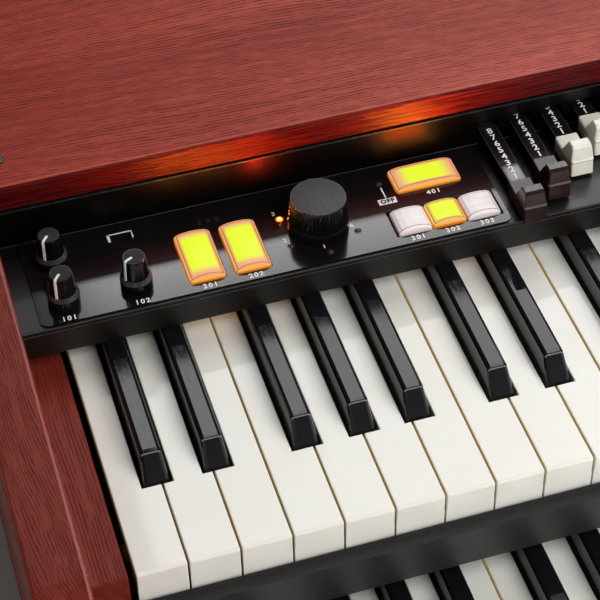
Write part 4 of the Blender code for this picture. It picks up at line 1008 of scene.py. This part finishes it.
def light_world():
    """Pale towards the horizon and below, dark overhead, so that gloss black stays black."""
    world = bpy.data.worlds.new("studio")
    bpy.context.scene.world = world
    world.use_nodes = True
    tree = world.node_tree
    place = tree.nodes.new("ShaderNodeTexCoord")
    split = tree.nodes.new("ShaderNodeSeparateXYZ")
    tree.links.new(place.outputs["Generated"], split.inputs["Vector"])
    level = tree.nodes.new("ShaderNodeMapRange")
    level.interpolation_type = "SMOOTHSTEP"
    tree.links.new(split.outputs["Z"], level.inputs["Value"])
    for limit, number in (("From Min", 0.16), ("From Max", 0.42), ("To Min", 0.85), ("To Max", 0.05)):
        level.inputs[limit].default_value = number
    background = tree.nodes["Background"]
    tree.links.new(level.outputs["Result"], background.inputs["Strength"])
    background.inputs["Color"].default_value = (1.0, 0.985, 0.965, 1)


def add_softbox(name, place, target, size, power, lit=True, mirrored=True):
    """A rectangular lamp that faces its target and lights surfaces, shows in glossy ones, or both."""
    light = bpy.data.lights.new(name, "AREA")
    light.shape = "RECTANGLE"
    light.size, light.size_y = size
    light.energy = power
    lamp = bpy.data.objects.new(name, light)
    lamp.location = place
    direction = Vector(target) - Vector(place)
    lamp.rotation_euler = direction.to_track_quat("-Z", "Y").to_euler()
    lamp.visible_camera = False
    lamp.visible_diffuse = lit
    lamp.visible_glossy = mirrored
    bpy.context.scene.collection.objects.link(lamp)
    return light


def light_room():
    """Two overhead strips that the black gloss mirrors, and a broad frontal light that it doesn't."""
    add_softbox("overhead_wide", (0.45, 0.983, 2.0), (0.45, 0.983, 0.0), (1.3, 1.366), 18)
    add_softbox("overhead_strip", (0.45, 1.92, 2.0), (0.45, 1.92, 0.0), (1.3, 0.26), 8.5, lit=False)
    add_softbox("front_fill", (0.25, -0.75, 1.0), (0.0, 0.0, 0.1), (0.9, 0.8), 13.5, mirrored=False)


def light_buttons():
    """Warm lamps just above what is lit on the panel, and one that shows in the large knob's side.

    Whatever is lit has one lamp for its glow on wood and another, a little higher, for its image in gloss.
    """
    spots = [(name, *BUTTONS[name], 3.4 * MM, BUTTON_GLOW) for name in LIT_BUTTONS]
    spots.append(("indicator", lamp_points()[LIT_LAMP], (5 * MM, 5 * MM), 1.6 * MM, LAMP_GLOW))
    up = Vector((0, 0, 1))
    for name, centre, size, rise, (power, shine) in spots:
        extent = (size[0] * 0.6, size[1] * 0.6)
        spot = on_panel(*centre, PANEL_Z + rise)
        light = add_softbox(name + "_glow", spot, spot + up, extent, power, mirrored=False)
        light.color = GLOW_ON_WOOD
        light.spread = GLOW_SPREAD
        over = on_panel(*centre, PANEL_Z + rise + 0.6 * MM)
        light = add_softbox(name + "_shine", over, over + up, extent, shine, lit=False)
        light.color = GLOW_IN_GLOSS
    knob_side = on_panel(*VIBRATO_KNOB, PANEL_Z + 9 * MM)
    beside = on_panel(*lamp_points()[LIT_LAMP], PANEL_Z + 3 * MM)
    light = add_softbox("knob_shine", beside, knob_side, (3 * MM, 3 * MM), 0.010, lit=False)
    light.color = (1.0, 0.22, 0.02)


def place_camera():
    """The photograph's viewing angle and distance."""
    camera = bpy.data.objects.new("camera", bpy.data.cameras.new("camera"))
    back = -CAMERA_FORWARD.normalized()
    right = (CAMERA_RIGHT - back * CAMERA_RIGHT.dot(back)).normalized()
    up = back.cross(right)
    turn = Matrix((right, up, back)).transposed().to_4x4()
    camera.matrix_world = Matrix.Translation(CAMERA_PLACE) @ turn
    camera.data.lens = CAMERA_LENS
    camera.data.sensor_width = 36
    camera.data.clip_start = 0.02
    bpy.context.scene.collection.objects.link(camera)
    bpy.context.scene.camera = camera


def paint(nodes, names, finish):
    """Put one finish on all of a node's slots, for each name."""
    for name in names:
        piece = nodes[name]
        for slot in piece.material_slots:
            slot.material = finish


def dress_nodes(nodes):
    """Give every CAD node its finish."""
    paint(nodes, ("top_lid",), wood_finish("cherry_wood_lid", 0, edge=lid_edge, pore=0.85))
    paint(nodes, ("front_rail",), wood_finish("cherry_wood_rail", 0, 0.6))
    arms = wood_finish("cherry_wood_arms", 1, 0.475, 1.4 * MM, 60.0, arm_edge, 0.60)
    paint(nodes, ("left_side_panel", "right_side_panel"), arms)
    cheeks = [name for name in nodes if name.endswith("_cheek")]
    paint(nodes, cheeks, wood_finish("cherry_wood_cheeks", 1, 0.49, 1.7 * MM, 60.0, pore=0.55))
    ivory = ivory_plastic("key_ivory", CORNER)
    ebony = ebony_plastic("key_ebony", CORNER)
    keys = [name for name in nodes if name.startswith("upper_key_") and name != "upper_key_slip"]
    paint(nodes, [name for name in keys if "sharp" not in name], ivory)
    paint(nodes, [name for name in keys if "sharp" in name], ebony)
    paint(nodes, ("upper_key_slip",), satin_metal("slip_black", (0.014, 0.013, 0.013), 0.30))
    paint(nodes, ("upper_keyboard",), keyboard_finish("upper_keyboard_mix", CORNER))
    lower = CORNER - Vector((0, MANUAL_SETBACK, MANUAL_RISE))
    paint(nodes, ("lower_keyboard",), keyboard_finish("lower_keyboard_mix", lower))
    paint(nodes, ("control_panel",), panel_finish())
    paint(nodes, ("left_control_overlay", "right_control_overlay"), overlay_finish())
    knob = gloss_plastic("knob_black", (0.003, 0.0025, 0.003), 0.16)
    paint(nodes, ("volume_knob", "drive_knob", "reverb_knob", "vibrato_knob", "power_switch"), knob)
    for name, (centre, size) in BUTTONS.items():
        make = lit_button_finish if name in LIT_BUTTONS else frosted_button_finish
        paint(nodes, (name,), make(name, centre, size))
    for name, _, pulled, body in drawbar_rows():
        if body in nodes:
            finish = drawbar_finish("bar_" + name, CAP_SHADES[drawbar_colour(name)], cap_rear(pulled))
            paint(nodes, (body,), finish)
    paint(nodes, ("rear_panel",), satin_metal("rear_black", (0.016, 0.016, 0.016), 0.45, 500.0))
    paint(nodes, ("connector_plate",), satin_metal("plate_black", (0.028, 0.028, 0.030), 0.35, 700.0))
    paint(nodes, ("power_supply",), satin_metal("supply_sheet", (0.42, 0.43, 0.44), 0.30, 300.0, 0.9))
    paint(nodes, ("main_board",), board_finish())
    paint(nodes, ("base_board",), fibreboard_finish())
    paint(nodes, [name for name in nodes if name.endswith("_foot")], rubber_finish())


def dress_details():
    """Everything that rides on the CAD: caps, lamps, print, screw and trim."""
    ink = plain_print("white_ink", (0.95, 0.93, 0.90))
    faint_ink = plain_print("faint_ink", (0.040, 0.018, 0.015))
    dark_ink = plain_print("black_ink", (0.008, 0.008, 0.008))
    shoulder = satin_metal("knob_shoulder", (0.030, 0.029, 0.030), 0.18, 600.0)
    steel = satin_metal("screw_steel", (0.16, 0.16, 0.155), 0.40, 400.0, 0.95)
    grey = satin_metal("edge_grey", (0.090, 0.115, 0.125), 0.40, 400.0, 0.95)
    # Grey for the lines painted as edge highlights on the panel and on the drawbar stems
    highlight_grey = satin_metal("edge_highlight_grey", (0.045, 0.043, 0.042), 0.35, 400.0)
    lamp_dark = gloss_plastic("lamp_dark", (0.060, 0.018, 0.009), 0.10)
    lamp_lit = lamp_finish("lamp_lit", lamp_points()[LIT_LAMP])
    rim = gloss_plastic("lamp_rim", (0.012, 0.012, 0.012), 0.2)
    strip = gloss_plastic("strip_black", (0.006, 0.006, 0.007), 0.12)
    dress_small_knobs(knob_cap_finish("small_cap_grey", 0.020), shoulder, ink)
    dress_vibrato_knob(knob_cap_finish("large_cap_grey", 0.10))
    place_lamps(lamp_dark, lamp_lit, rim)
    print_panel(ink, faint_ink, dark_ink)
    print_drawbars(ink, strip, highlight_grey)
    place_lid_screw(steel, rim, dark_ink)
    place_trim(grey, highlight_grey)


def build_scene():
    """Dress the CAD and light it."""
    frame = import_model()
    bpy.context.scene.view_settings.view_transform = "Standard"
    dress_nodes(frame["nodes"])
    dress_details()
    build_room()
    light_world()
    light_room()
    light_buttons()
    place_camera()


build_scene()
